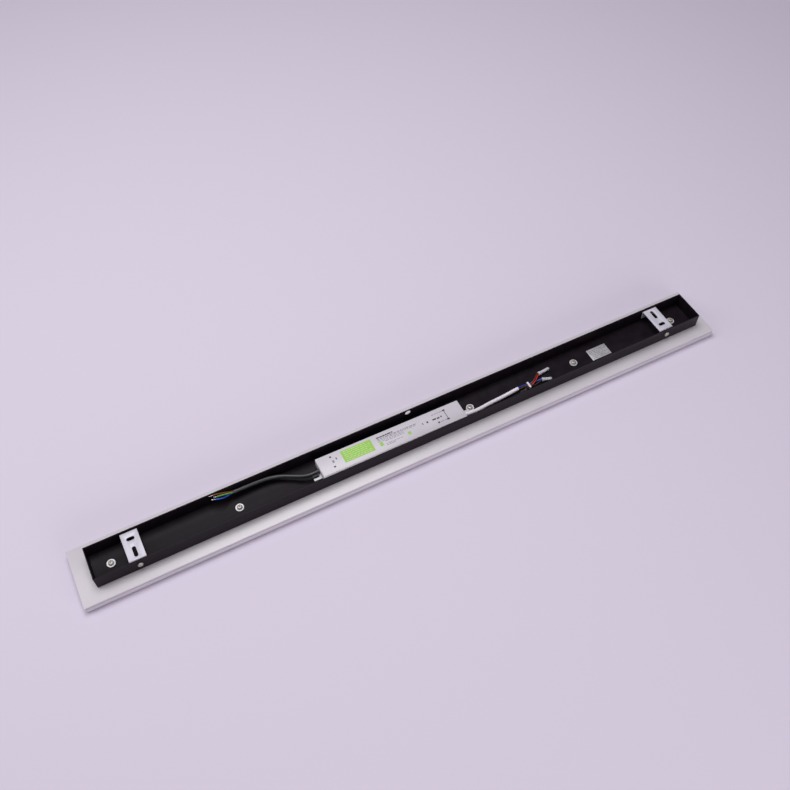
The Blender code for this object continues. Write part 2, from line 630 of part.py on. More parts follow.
def build_driver_pads():
    """Foam under the case, each pad's top following the case's slope."""
    ends = {"left": DRIVER_RIGHT_END - DRIVER_LENGTH + DRIVER_PAD_INSET,
            "right": DRIVER_RIGHT_END - DRIVER_PAD_INSET - DRIVER_PAD_SIZE[0]}
    for side, x in ends.items():
        shape = block((x, DRIVER_Y - DRIVER_PAD_SIZE[1] / 2, TRAY_FLOOR + GAP),
                      (x + DRIVER_PAD_SIZE[0], DRIVER_Y + DRIVER_PAD_SIZE[1] / 2, TRAY_RIM))
        for corner in shape.verts:
            if corner.co.z > TRAY_FLOOR + 2 * GAP:
                corner.co.z = driver_underside(corner.co.x) - GAP
        place(f"driver_pad_{side}", shape, FOAM)


# ---------------------------------------------------------------- cables and leads

def smooth_route(points, spacing):
    """Points a spacing apart on a smooth curve through the route's own points."""
    spots = [Vector(p) for p in points]
    spots = [2 * spots[0] - spots[1]] + spots + [2 * spots[-1] - spots[-2]]
    fine = []
    for a, b, c, d in zip(spots, spots[1:], spots[2:], spots[3:]):
        for i in range(24):
            t = i / 24
            fine.append(((1 - t) ** 3 * a + (3 * t ** 3 - 6 * t * t + 4) * b
                         + (1 + 3 * t + 3 * t * t - 3 * t ** 3) * c + t ** 3 * d) / 6)
    fine.append(spots[-2])
    lengths = [0.0]
    for p, q in zip(fine, fine[1:]):
        lengths.append(lengths[-1] + (q - p).length)
    count = max(2, round(lengths[-1] / spacing))
    route, at = [], 0
    for i in range(count + 1):
        want = lengths[-1] * i / count
        while at < len(lengths) - 2 and lengths[at + 1] < want:
            at += 1
        share = (want - lengths[at]) / (lengths[at + 1] - lengths[at])
        route.append(fine[at].lerp(fine[at + 1], min(1.0, share)))
    return route


def tube(name, points, radius, finish, sides=2):
    """A round cable or lead along a route."""
    curve = bpy.data.curves.new(name, "CURVE")
    curve.dimensions = "3D"
    curve.bevel_depth = radius
    curve.bevel_resolution = sides
    curve.use_fill_caps = True
    route = smooth_route(points, 5 * radius)
    line = curve.splines.new("POLY")
    line.points.add(len(route) - 1)
    for spot, point in zip(line.points, route):
        spot.co = (*point, 1.0)
    curve.materials.append(material(*finish))
    bpy.context.collection.objects.link(bpy.data.objects.new(name, curve))


MAINS_ROUTE = [(-0.1460, -0.0030, 0.0271), (-0.1521, -0.0030, 0.0272), (-0.1600, -0.0032, 0.0269),
               (-0.1680, -0.0026, 0.0261), (-0.1760, 0.0003, 0.0253), (-0.1860, 0.0062, 0.0246),
               (-0.1965, 0.0123, 0.0243), (-0.2075, 0.0170, 0.0245), (-0.2195, 0.0196, 0.0251),
               (-0.2320, 0.0203, 0.0258), (-0.2450, 0.0204, 0.0264), (-0.2580, 0.0200, 0.0270),
               (-0.2700, 0.0199, 0.0277)]
BROWN_ROUTE = [(-0.2704, 0.02107, 0.0284), (-0.2765, 0.0216, 0.0303), (-0.2845, 0.0221, 0.0334),
               (-0.2925, 0.0223, 0.0360), (-0.2975, 0.0223, 0.0366)]
EARTH_ROUTE = [(-0.2704, 0.01873, 0.0284), (-0.2760, 0.0190, 0.0298), (-0.2835, 0.0193, 0.0318),
               (-0.2925, 0.0198, 0.0335)]
BLUE_ROUTE = [(-0.2704, 0.0199, 0.02635), (-0.2760, 0.0184, 0.0273), (-0.2810, 0.0166, 0.0290),
              (-0.2860, 0.0153, 0.0310), (-0.2910, 0.0157, 0.0322), (-0.2960, 0.0170, 0.0330)]

OUTPUT_ROUTE = [(0.0674, -0.01165, 0.0236), (0.0734, -0.01165, 0.0235), (0.0815, -0.0118, 0.0229),
                (0.0900, -0.0117, 0.0214), (0.1000, -0.0106, 0.0198), (0.1090, -0.0092, 0.0189),
                (0.1190, -0.0080, 0.0188), (0.1360, -0.0075, 0.0188), (0.1540, -0.0058, 0.0188),
                (0.1690, -0.0045, 0.0188)]
OUTPUT_BLUE_ROUTE = [(0.1694, -0.0033, 0.0190), (0.1730, -0.0027, 0.0188), (0.1770, -0.0025, 0.0184),
                     (0.1810, -0.0026, 0.0181), (0.1850, -0.0028, 0.0179), (0.1890, -0.0028, 0.0179),
                     (0.1925, -0.0029, 0.0174), (0.1960, -0.0033, 0.0169), (0.1995, -0.0039, 0.0168),
                     (0.2030, -0.0043, 0.0170), (0.2060, -0.0045, 0.0177), (0.2082, -0.0048, 0.0184),
                     (0.2100, -0.0053, 0.0187), (0.21176, -0.0059, 0.0187), (0.21366, -0.00655, 0.0187)]
OUTPUT_BROWN_ROUTE = [(0.1694, -0.0057, 0.0188), (0.1730, -0.0056, 0.0185), (0.1770, -0.0053, 0.0182),
                      (0.1810, -0.0050, 0.0180), (0.1850, -0.0049, 0.0179), (0.1890, -0.0049, 0.0179),
                      (0.1920, -0.0048, 0.0187), (0.1955, -0.0037, 0.0195), (0.1995, -0.0013, 0.0197),
                      (0.2030, 0.0015, 0.0194), (0.2060, 0.0040, 0.0190), (0.2082, 0.0056, 0.0188),
                      (0.2102, 0.0063, 0.0187), (0.2123, 0.0065, 0.0187), (0.2145, 0.0067, 0.0187)]
LED_RED_ROUTE = [(0.1745, -0.0131, 0.0094), (0.1745, -0.0131, 0.0120), (0.1745, -0.0131, 0.0145),
                 (0.1746, -0.0131, 0.0168), (0.1751, -0.0128, 0.0190), (0.1764, -0.0119, 0.0207),
                 (0.1785, -0.0105, 0.0213), (0.1806, -0.0092, 0.0206), (0.1828, -0.0080, 0.0190),
                 (0.1852, -0.0071, 0.0179), (0.1890, -0.0071, 0.0179), (0.1925, -0.0070, 0.0183),
                 (0.1960, -0.0061, 0.0191), (0.2000, -0.0039, 0.0195), (0.2034, -0.0013, 0.0192),
                 (0.2060, 0.0010, 0.0189), (0.2082, 0.0028, 0.0188), (0.2102, 0.0037, 0.0187),
                 (0.2124, 0.0041, 0.0187), (0.2145, 0.0043, 0.0187)]
LED_BLACK_ROUTE = [(0.1745, -0.0153, 0.0094), (0.1745, -0.0153, 0.0120), (0.1745, -0.0153, 0.0145),
                   (0.1746, -0.0153, 0.0168), (0.1751, -0.0150, 0.0190), (0.1764, -0.0142, 0.0207),
                   (0.1785, -0.0129, 0.0213), (0.1807, -0.0116, 0.0206), (0.1829, -0.0103, 0.0190),
                   (0.1853, -0.0093, 0.0179), (0.1890, -0.0093, 0.0179), (0.1930, -0.0094, 0.0175),
                   (0.1970, -0.0092, 0.0173), (0.2010, -0.0084, 0.0175), (0.2045, -0.0076, 0.0181),
                   (0.2072, -0.0073, 0.0186), (0.2091, -0.0075, 0.0187), (0.2110, -0.0081, 0.0187),
                   (0.2129, -0.0087, 0.0187)]


# Where the driver's ends, the far wall and the floor are in the routes above
DRAWN_LEFT_END = (-0.1521, -0.00515, 0.02083)
DRAWN_RIGHT_END = (0.0734, -0.00515, 0.0171)
DRAWN_TRAY_INSIDE = 0.0238
DRAWN_TRAY_FLOOR = 0.0155
STRAIGHT_POINTS = 3            # that keep to the driver's end, past a route's first


def driver_move(drawn, x):
    """How far an end of the driver is from where the routes are drawn for it."""
    return Vector((x, DRIVER_Y, driver_underside(x))) - Vector(drawn)


def moved(points, start, end=None):
    """A route moved by one step at its start and by another at its end, and in between by a share."""
    end = start if end is None else end
    last = len(points) - 1
    shares = [max(0, i - STRAIGHT_POINTS) / (last - STRAIGHT_POINTS) for i in range(len(points))]
    return [Vector(p) + start.lerp(end, share) for p, share in zip(points, shares)]


def build_mains_cable():
    start = driver_move(DRAWN_LEFT_END, DRIVER_RIGHT_END - DRIVER_LENGTH)
    end = Vector((start.x, TRAY_INSIDE - DRAWN_TRAY_INSIDE, TRAY_FLOOR - DRAWN_TRAY_FLOOR))
    tube("mains_cable", moved(MAINS_ROUTE, start, end), MAINS_CABLE_RADIUS, BLACK_PVC, 3)
    for name, route, finish in (("brown", BROWN_ROUTE, BROWN_PVC), ("earth", EARTH_ROUTE, EARTH_PVC),
                                ("blue", BLUE_ROUTE, BLUE_PVC)):
        spots = [Vector(p) + end for p in route]
        tube(f"mains_lead_{name}", spots, MAINS_LEAD_RADIUS, finish)
        way = (spots[-1] - spots[-2]).normalized()
        tip = bmesh.new()
        add_turned(tip, [(0, GAP), (TIP_RADIUS, GAP), (TIP_RADIUS, TIP_LENGTH), (0, TIP_LENGTH)],
                   (0, 0, 0), way, 8)
        place(f"mains_tip_{name}", tip, TINNED, spots[-1], smooth=40)


def build_output_cable():
    start = driver_move(DRAWN_RIGHT_END, DRIVER_RIGHT_END)
    rise = Vector((0, 0, TRAY_FLOOR - DRAWN_TRAY_FLOOR))
    tube("output_cable", moved(OUTPUT_ROUTE, start, rise), OUTPUT_CABLE_RADIUS, WHITE_PVC, 3)
    for name, route, finish in (("output_lead_blue", OUTPUT_BLUE_ROUTE, BLUE_PVC),
                                ("output_lead_brown", OUTPUT_BROWN_ROUTE, BROWN_PVC),
                                ("led_lead_red", LED_RED_ROUTE, RED_PVC),
                                ("led_lead_black", LED_BLACK_ROUTE, BLACK_PVC)):
        tube(name, moved(route, rise), LED_LEAD_RADIUS, finish)

    middle = Vector((0.1870, -0.00605, 0.0179)) + rise
    tie = bmesh.new()
    half = Vector(TIE_SIZE) / 2
    hole = half.y - TIE_BAND, half.z - TIE_BAND
    outer = [(-half.y, -half.z), (half.y, -half.z), (half.y, half.z), (-half.y, half.z)]
    inner = [(-hole[0], -hole[1]), (hole[0], -hole[1]), (hole[0], hole[1]), (-hole[0], hole[1])]
    rings = []
    for x in (-half.x, half.x):
        rings.append([[tie.verts.new(middle + Vector((x, y, z))) for y, z in loop]
                      for loop in (outer, inner)])
    for i in range(4):
        j = (i + 1) % 4
        for loop in (0, 1):
            tie.faces.new([rings[0][loop][i], rings[0][loop][j], rings[1][loop][j], rings[1][loop][i]])
        for end in (0, 1):
            tie.faces.new([rings[end][0][i], rings[end][0][j], rings[end][1][j], rings[end][1][i]])
    place("lead_tie", tie, WHITE_PVC)


def build_splice_caps():
    """Closed-end crimp caps: an open mouth for two leads and a domed far end."""
    for name, mouth, end in (("splice_cap_red", (0.2098, 0.0050, 0.0187), (0.2305, 0.0070, 0.0187)),
                             ("splice_cap_black", (0.2095, -0.0064, 0.0187), (0.2245, -0.0113, 0.0187))):
        way = Vector(end) - Vector(mouth)
        length = way.length
        profile = [(0, SPLICE_BORE_DEPTH), (SPLICE_BORE_RADIUS, SPLICE_BORE_DEPTH),
                   (SPLICE_BORE_RADIUS, 0), (SPLICE_RADIUS, 0), (SPLICE_RADIUS, 0.004),
                   (0.88 * SPLICE_RADIUS, 0.0048), (0.84 * SPLICE_RADIUS, length - SPLICE_RADIUS),
                   (0.6 * SPLICE_RADIUS, length - 0.2 * SPLICE_RADIUS), (0, length)]
        shape = bmesh.new()
        add_turned(shape, profile, (0, 0, 0), way.normalized(), 14)
        rise = Vector((0, 0, TRAY_FLOOR - DRAWN_TRAY_FLOOR))
        place(name, shape, NYLON, Vector(mouth) + rise, smooth=40)


build_acrylic()
build_carrier()
build_boards()
build_tray()
build_tray_fixings()
build_grommet()
build_rating_label()
for bracket_side, (bracket_x, long_slot_side) in bracket_places().items():
    build_bracket(bracket_side, bracket_x, long_slot_side)
driver_seat = seat("driver_seat", (DRIVER_X, DRIVER_Y, driver_underside(DRIVER_X)),
                   (0, math.atan(DRIVER_SLOPE), 0))
build_driver_case(driver_seat)
build_driver_inside(driver_seat)
build_driver_pads()
build_mains_cable()
build_output_cable()
build_splice_caps()
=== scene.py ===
import math

import bmesh
import bpy
from mathutils import Matrix, Vector


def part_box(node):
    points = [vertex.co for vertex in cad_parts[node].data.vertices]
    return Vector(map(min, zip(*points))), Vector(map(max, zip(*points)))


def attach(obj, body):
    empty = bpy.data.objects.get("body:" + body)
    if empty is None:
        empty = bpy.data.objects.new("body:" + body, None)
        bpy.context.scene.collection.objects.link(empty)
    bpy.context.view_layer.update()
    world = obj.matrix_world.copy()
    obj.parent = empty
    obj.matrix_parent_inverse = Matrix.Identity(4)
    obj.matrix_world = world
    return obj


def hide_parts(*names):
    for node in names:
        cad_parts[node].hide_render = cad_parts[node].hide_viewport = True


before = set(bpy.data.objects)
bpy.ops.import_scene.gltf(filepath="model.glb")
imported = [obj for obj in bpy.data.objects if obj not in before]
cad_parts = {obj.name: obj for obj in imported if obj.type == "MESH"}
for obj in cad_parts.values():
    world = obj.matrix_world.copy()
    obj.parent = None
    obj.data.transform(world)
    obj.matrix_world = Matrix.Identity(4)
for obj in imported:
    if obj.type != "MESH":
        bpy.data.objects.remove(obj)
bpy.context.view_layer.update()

# ---------------------------------------------------------------- camera, floor and light
# A camera looks down on the lamp from its near side, turned a little to the right. The floor is a pale
# sheet, and three large soft lamps light it from above, from the left and from the near side.
camera = bpy.data.objects.new("camera", bpy.data.cameras.new("camera"))
bpy.context.collection.objects.link(camera)
camera.location = (-0.34207, -0.62912, 1.10580)
camera.rotation_euler = (0.6214, 0.0092, -0.4709)
camera.data.lens = 41.3
camera.data.clip_start = 0.01
bpy.context.scene.camera = camera
bpy.context.scene.view_settings.view_transform = "Standard"

bpy.ops.object.select_all(action="DESELECT")
bpy.ops.mesh.primitive_plane_add(size=8.0, location=(0, 0, -0.0002))
floor = bpy.context.object
floor.name = "studio_floor"
paper = bpy.data.materials.new("backdrop_paper")
paper.use_nodes = True
paper_shader = paper.node_tree.nodes["Principled BSDF"]
paper_shader.inputs["Base Color"].default_value = (0.655, 0.592, 0.71, 1)
paper_shader.inputs["Roughness"].default_value = 0.9
floor.data.materials.append(paper)

world = bpy.data.worlds.new("studio")
world.use_nodes = True
sky = world.node_tree.nodes["Background"]
sky.inputs["Color"].default_value = (0.96, 0.95, 1.0, 1)
sky.inputs["Strength"].default_value = 0.28
bpy.context.scene.world = world


def soft_box(name, place, aim, size, power):
    """A square lamp at a place, turned towards a point."""
    lamp = bpy.data.objects.new(name, bpy.data.lights.new(name, "AREA"))
    bpy.context.collection.objects.link(lamp)
    lamp.data.size = size
    lamp.data.energy = power
    lamp.location = place
    lamp.rotation_euler = (Vector(aim) - Vector(place)).to_track_quat("-Z", "Y").to_euler()


soft_box("overhead_light", (-0.15, 0.45, 2.10), (0, 0.2, 0), 1.3, 29)
soft_box("left_light", (-1.8, 0.7, 1.5), (0, 0, 0), 1.4, 11)
soft_box("near_light", (0.3, -2.0, 0.5), (0, 0, 0), 1.4, 18)

# ---------------------------------------------------------------- acrylic light body
# A shallow shell of pale translucent acrylic, its open back closed by a sheet of the same. The sheets
# are cut, sanded and glued, so the edges are slightly rounded and a fine joint runs round the body.
SHELL_EDGE = 0.00324
SHEET_EDGE = 0.0009
SHELL_WALL = 0.003


def surface(name, dark, light, rough, grain, relief=0.0, metallic=0.0, stretch=(1, 1, 1), fine=8.0):
    """A finish of two tones mixed by a cloudy pattern, with uneven gloss and a fine relief.

    Grain is the pattern's size and relief the height of the bumps, both in metres; fine says how much
    smaller the bumps are than the pattern.
    """
    made = bpy.data.materials.new(name)
    made.use_nodes = True
    nodes, links = made.node_tree.nodes, made.node_tree.links
    shader = nodes["Principled BSDF"]
    shader.inputs["Metallic"].default_value = metallic
    spot = nodes.new("ShaderNodeTexCoord")
    fit = nodes.new("ShaderNodeMapping")
    fit.inputs["Scale"].default_value = stretch
    links.new(spot.outputs["Object"], fit.inputs["Vector"])
    cloud = nodes.new("ShaderNodeTexNoise")
    cloud.inputs["Scale"].default_value = 1 / grain
    cloud.inputs["Detail"].default_value = 5
    links.new(fit.outputs["Vector"], cloud.inputs["Vector"])
    tone = nodes.new("ShaderNodeValToRGB")
    tone.color_ramp.elements[0].position = 0.36
    tone.color_ramp.elements[0].color = (*dark, 1)
    tone.color_ramp.elements[1].position = 0.64
    tone.color_ramp.elements[1].color = (*light, 1)
    links.new(cloud.outputs["Fac"], tone.inputs["Fac"])
    links.new(tone.outputs["Color"], shader.inputs["Base Color"])
    gloss = nodes.new("ShaderNodeMapRange")
    gloss.inputs["From Min"].default_value = 0.3
    gloss.inputs["From Max"].default_value = 0.7
    gloss.inputs["To Min"].default_value = rough[0]
    gloss.inputs["To Max"].default_value = rough[1]
    links.new(cloud.outputs["Fac"], gloss.inputs["Value"])
    links.new(gloss.outputs["Result"], shader.inputs["Roughness"])
    if relief:
        pits = nodes.new("ShaderNodeTexNoise")
        pits.inputs["Scale"].default_value = fine / grain
        pits.inputs["Detail"].default_value = 3
        links.new(fit.outputs["Vector"], pits.inputs["Vector"])
        bump = nodes.new("ShaderNodeBump")
        bump.inputs["Distance"].default_value = relief
        bump.inputs["Strength"].default_value = 0.8
        links.new(pits.outputs["Fac"], bump.inputs["Height"])
        links.new(bump.outputs["Normal"], shader.inputs["Normal"])
    return made


def alone(piece):
    """Make one piece the only selected and active one, in object mode."""
    if bpy.context.object and bpy.context.object.mode == "EDIT":
        bpy.ops.object.mode_set(mode="OBJECT")
    bpy.ops.object.select_all(action="DESELECT")
    piece.select_set(True)
    bpy.context.view_layer.objects.active = piece


def choose(piece, kind, wanted):
    """Open a piece in edit mode with only the wanted corners, edges or faces selected."""
    if piece.mode != "EDIT":
        alone(piece)
        bpy.ops.object.mode_set(mode="EDIT")
    bpy.ops.mesh.select_mode(type=kind)
    bpy.ops.mesh.select_all(action="DESELECT")
    shape = bmesh.from_edit_mesh(piece.data)
    for part in {"VERT": shape.verts, "EDGE": shape.edges, "FACE": shape.faces}[kind]:
        if wanted(part):
            part.select_set(True)
    shape.select_flush_mode()
    bmesh.update_edit_mesh(piece.data)


def block(name, low, high):
    """A plain box between two corners."""
    bpy.ops.object.select_all(action="DESELECT")
    bpy.ops.mesh.primitive_cube_add(size=1, location=(low + high) / 2, scale=high - low)
    made = bpy.context.object
    made.name = made.data.name = name
    bpy.ops.object.transform_apply(location=True, rotation=True, scale=True)
    return made


def rounded_slab(name, low, high, edge, open_top=False, wall=0.003):
    """A box with rounded edges, or a tray of one wall thickness where its top is left open."""
    low, high = Vector(low), Vector(high)
    made = block(name, low, high)
    if open_top:
        choose(made, "EDGE", lambda e: any(v.co.z < high.z - 1e-5 for v in e.verts))
        bpy.ops.mesh.bevel(offset=edge, segments=3, affect="EDGES")
        choose(made, "FACE", lambda f: f.calc_center_median().z > high.z - 1e-5)
        bpy.ops.mesh.inset(thickness=wall)
        inward = wall - (high - low).z
        bpy.ops.mesh.extrude_region_move(TRANSFORM_OT_translate={"value": (0, 0, inward)})
    else:
        choose(made, "EDGE", lambda e: True)
        bpy.ops.mesh.bevel(offset=edge, segments=3, affect="EDGES")
    bpy.ops.object.mode_set(mode="OBJECT")
    return made


def settle(piece, fit=Matrix.Identity(4), finish=None, smooth=35):
    """Put a modelled piece in its place, with the place in its mesh, and shade its round faces."""
    alone(piece)
    piece.matrix_world = fit @ piece.matrix_world
    bpy.ops.object.transform_apply(location=True, rotation=True, scale=True)
    if finish:
        piece.data.materials.clear()
        piece.data.materials.append(finish)
    bpy.ops.object.shade_smooth_by_angle(angle=math.radians(smooth))
    return piece


def stand_for(piece, body, slot, *nodes):
    """Attach a piece to the body it moves with and hide the CAD nodes it stands for; slot is not used."""
    if nodes:
        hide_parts(*nodes)
    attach(piece, body)
    return piece


opal = surface("opal_acrylic", (0.585, 0.540, 0.590), (0.615, 0.570, 0.620), (0.30, 0.40), 0.05,
               0.00001, fine=60.0)
opal_shader = opal.node_tree.nodes["Principled BSDF"]
opal_shader.inputs["Coat Weight"].default_value = 0.15
opal_shader.inputs["Coat Roughness"].default_value = 0.15
shell_low, shell_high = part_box("acrylic_front")
shell = rounded_slab("acrylic_shell", shell_low, shell_high, SHELL_EDGE, True, SHELL_WALL)
settle(shell, finish=opal)
stand_for(shell, "lamp", "opal_acrylic", "acrylic_front")
sheet_low, sheet_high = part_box("acrylic_back")
back_sheet = rounded_slab("acrylic_back_sheet", sheet_low, sheet_high, SHEET_EDGE)
settle(back_sheet, finish=opal)
stand_for(back_sheet, "lamp", "opal_acrylic", "acrylic_back")

# ---------------------------------------------------------------- LED carrier and boards
# A folded aluminium strip with pressed-in nuts carries four white boards, their LEDs towards the
# front. They are sealed inside the acrylic, so the machined shapes stay as they are.
bare_aluminium = surface("bare_aluminium", (0.70, 0.71, 0.73), (0.80, 0.81, 0.83), (0.28, 0.42), 0.02,
                         0.00002, metallic=1.0, stretch=(0.1, 1, 1))
board_white = surface("board_white", (0.80, 0.81, 0.80), (0.88, 0.89, 0.88), (0.35, 0.5), 0.01, 0.00001)


def dress(node, finish):
    """Give a CAD node that stays in sight its finish."""
    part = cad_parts[node]
    part.data.materials.clear()
    part.data.materials.append(finish)


dress("led_carrier", bare_aluminium)
for number in range(1, 5):
    dress(f"led_board_{number}", board_white)

# ---------------------------------------------------------------- back tray
# The lamp's back box: one sheet of 1.2 mm steel folded up on four sides, welded at its corners and
# powder-coated black with a fine matt grain. Round holes in its long walls take the lock screws.
TRAY_SHEET = 0.0012
TRAY_FOLD, TRAY_CORNER = 0.0013, 0.0006
LOCK_HOLE_RADIUS = 0.0023
SIDE_HOLE_RADIUS, SIDE_HOLE_DROP = 0.0045, 0.0062
BUSH_HOLE_RADIUS = 0.0045
FLOOR_HOLE_RADIUS = 0.0023
THROUGH_SHEET, THROUGH_TRAY = 0.008, 0.08
ACROSS = (math.pi / 2, 0, 0)    # the turn that lays a hole across the lamp
tray_low, tray_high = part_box("tray_floor")
tray_high.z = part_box("tray_wall_far")[1].z


def cut_with(piece, cutter):
    """Take a closed cutter out of a piece and throw the cutter away."""
    step = piece.modifiers.new("cut", "BOOLEAN")
    step.operation = "DIFFERENCE"
    step.solver = "EXACT"
    step.object = cutter
    alone(piece)
    bpy.ops.object.modifier_apply(modifier=step.name)
    bpy.data.objects.remove(cutter, do_unlink=True)


def drill(piece, place, radius, depth, steps=32, turn=(0, 0, 0)):
    """Cut a round hole in a piece, straight down unless it is turned."""
    bpy.ops.object.select_all(action="DESELECT")
    bpy.ops.mesh.primitive_cylinder_add(vertices=steps, radius=radius, depth=depth, location=place,
                                        rotation=turn)
    cut_with(piece, bpy.context.object)


def middle_of(node):
    """The middle of a CAD node's box."""
    low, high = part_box(node)
    return (low + high) / 2


tray = block("folded_tray", tray_low, tray_high)
choose(tray, "FACE", lambda f: f.normal.z > 0.9)
bpy.ops.mesh.delete(type="ONLY_FACE")
choose(tray, "EDGE", lambda e: all(v.co.z < tray_low.z + 1e-5 for v in e.verts))
bpy.ops.mesh.bevel(offset=TRAY_FOLD, segments=4, affect="EDGES")
upright = (tray_high.z - tray_low.z) / 2
choose(tray, "EDGE", lambda e: abs(e.verts[0].co.z - e.verts[1].co.z) > upright)
bpy.ops.mesh.bevel(offset=TRAY_CORNER, segments=2, affect="EDGES")
bpy.ops.object.mode_set(mode="OBJECT")
wall = tray.modifiers.new("sheet", "SOLIDIFY")
wall.thickness = TRAY_SHEET
wall.offset = -1
wall.use_even_offset = True
alone(tray)
bpy.ops.object.modifier_apply(modifier="sheet")

lock_screw_z = middle_of("lock_screw_left_near").z
for side in ("left", "right"):
    drill(tray, (middle_of(f"wall_bracket_{side}").x, 0, lock_screw_z), LOCK_HOLE_RADIUS, THROUGH_TRAY,
          turn=ACROSS)
far_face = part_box("tray_wall_far")[1].y
drill(tray, (0, far_face, tray_high.z - SIDE_HOLE_DROP), SIDE_HOLE_RADIUS, THROUGH_SHEET, 40, ACROSS)
bush_at = middle_of("wire_grommet")
drill(tray, (bush_at.x, bush_at.y, tray_low.z), BUSH_HOLE_RADIUS, THROUGH_SHEET)
for number in range(1, 7):
    screw_at = middle_of(f"tray_screw_{number}")
    drill(tray, (screw_at.x, screw_at.y, tray_low.z), FLOOR_HOLE_RADIUS, THROUGH_SHEET, 24)
powder_coat = surface("black_powder_coat", (0.0085, 0.0055, 0.0092), (0.0120, 0.0080, 0.0130),
                      (0.32, 0.44), 0.012, 0.00003, fine=16.0)
powder_coat.node_tree.nodes["Principled BSDF"].inputs["Specular IOR Level"].default_value = 0.10
settle(tray, finish=powder_coat, smooth=30)
stand_for(tray, "lamp", "black_coat", "tray_floor", "tray_wall_near", "tray_wall_far", "tray_end_left",
          "tray_end_right")

# ---------------------------------------------------------------- floor bush for the LED leads
# A black rubber bush pushed into the tray floor. Its neck fills the hole, and its rounded flange
# keeps the LED leads off the sheet's cut edge.
BUSH_BORE = 0.0027
bush_low, bush_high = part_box("wire_grommet")


def lathe(name, rings, steps, shut=(True, True)):
    """Pull a circle up the Z axis through rings of (radius, height); a radius of 0 ends in a point.

    Shut says whether the first and the last ring are closed with a flat face.
    """
    bpy.ops.object.select_all(action="DESELECT")
    bpy.ops.mesh.primitive_circle_add(vertices=steps, radius=rings[0][0], location=(0, 0, rings[0][1]))
    made = bpy.context.object
    made.name = made.data.name = name
    bpy.ops.object.transform_apply(location=True)
    bpy.ops.object.mode_set(mode="EDIT")
    bpy.ops.mesh.select_all(action="SELECT")
    if shut[0]:
        bpy.ops.mesh.edge_face_add()
        bpy.ops.mesh.select_mode(type="EDGE")
    for (radius, height), (wide, high) in zip(rings, rings[1:]):
        bpy.ops.mesh.extrude_edges_move(TRANSFORM_OT_translate={"value": (0, 0, high - height)})
        if wide == 0:
            bpy.ops.mesh.merge(type="CENTER")
        elif abs(wide - radius) > 1e-9:
            k = wide / radius
            bpy.ops.transform.resize(value=(k, k, 1), center_override=(0, 0, high))
    if shut[1] and rings[-1][0] > 0:
        bpy.ops.mesh.edge_face_add()
    bpy.ops.mesh.select_all(action="SELECT")
    bpy.ops.mesh.remove_doubles(threshold=1e-6)
    bpy.ops.mesh.normals_make_consistent(inside=False)
    bpy.ops.object.mode_set(mode="OBJECT")
    return made


bush = lathe("floor_bush", [(BUSH_BORE, bush_low.z), (0.0042, bush_low.z), (0.0042, bush_low.z + 0.00145),
                            (0.0058, bush_low.z + 0.0015), (0.0062, bush_low.z + 0.0018),
                            (0.0060, bush_high.z - 0.0004), (0.0050, bush_high.z - 0.0001),
                            (0.0036, bush_high.z), (0.0029, bush_high.z - 0.0003),
                            (BUSH_BORE, bush_high.z - 0.0007), (BUSH_BORE, bush_low.z)], 32, (False, False))
soft_rubber = surface("soft_rubber", (0.010, 0.010, 0.011), (0.020, 0.020, 0.021), (0.65, 0.8), 0.004,
                      0.00003)
settle(bush, Matrix.Translation((bush_at.x, bush_at.y, 0)), soft_rubber)
stand_for(bush, "lamp", "rubber", "wire_grommet")

# ---------------------------------------------------------------- screws and washers
# Pan-head machine screws of zinc-plated steel with a cross recess. Six of them, each on a large
# stamped washer, hold the tray to the carrier; four more lock the wall brackets.
HEAD_RADIUS, HEAD_HIGH, HEAD_EDGE = 0.0038, 0.0024, 0.0002
SHANK_RADIUS, THREAD_CREST, THREAD_ROOT = 0.0019, 0.0020, 0.0017
THREAD_PITCH = 0.0007
SCREW_POINT, SCREW_NECK = 0.0006, 0.0010
SCREW_PLAIN = 0.0022            # what the thread leaves free at the point and under the head
RECESS_SIZE, RECESS_TAPER = (0.0044, 0.00085, 0.0030), 0.45
SCREW_SEAT_GAP = 0.0003
bright_zinc = surface("bright_zinc", (0.58, 0.55, 0.58), (0.70, 0.67, 0.70), (0.34, 0.50), 0.004,
                      0.00003, metallic=0.35)
worn_zinc = surface("worn_zinc", (0.36, 0.33, 0.31), (0.50, 0.47, 0.44), (0.34, 0.52), 0.002, 0.00003,
                    metallic=0.45)


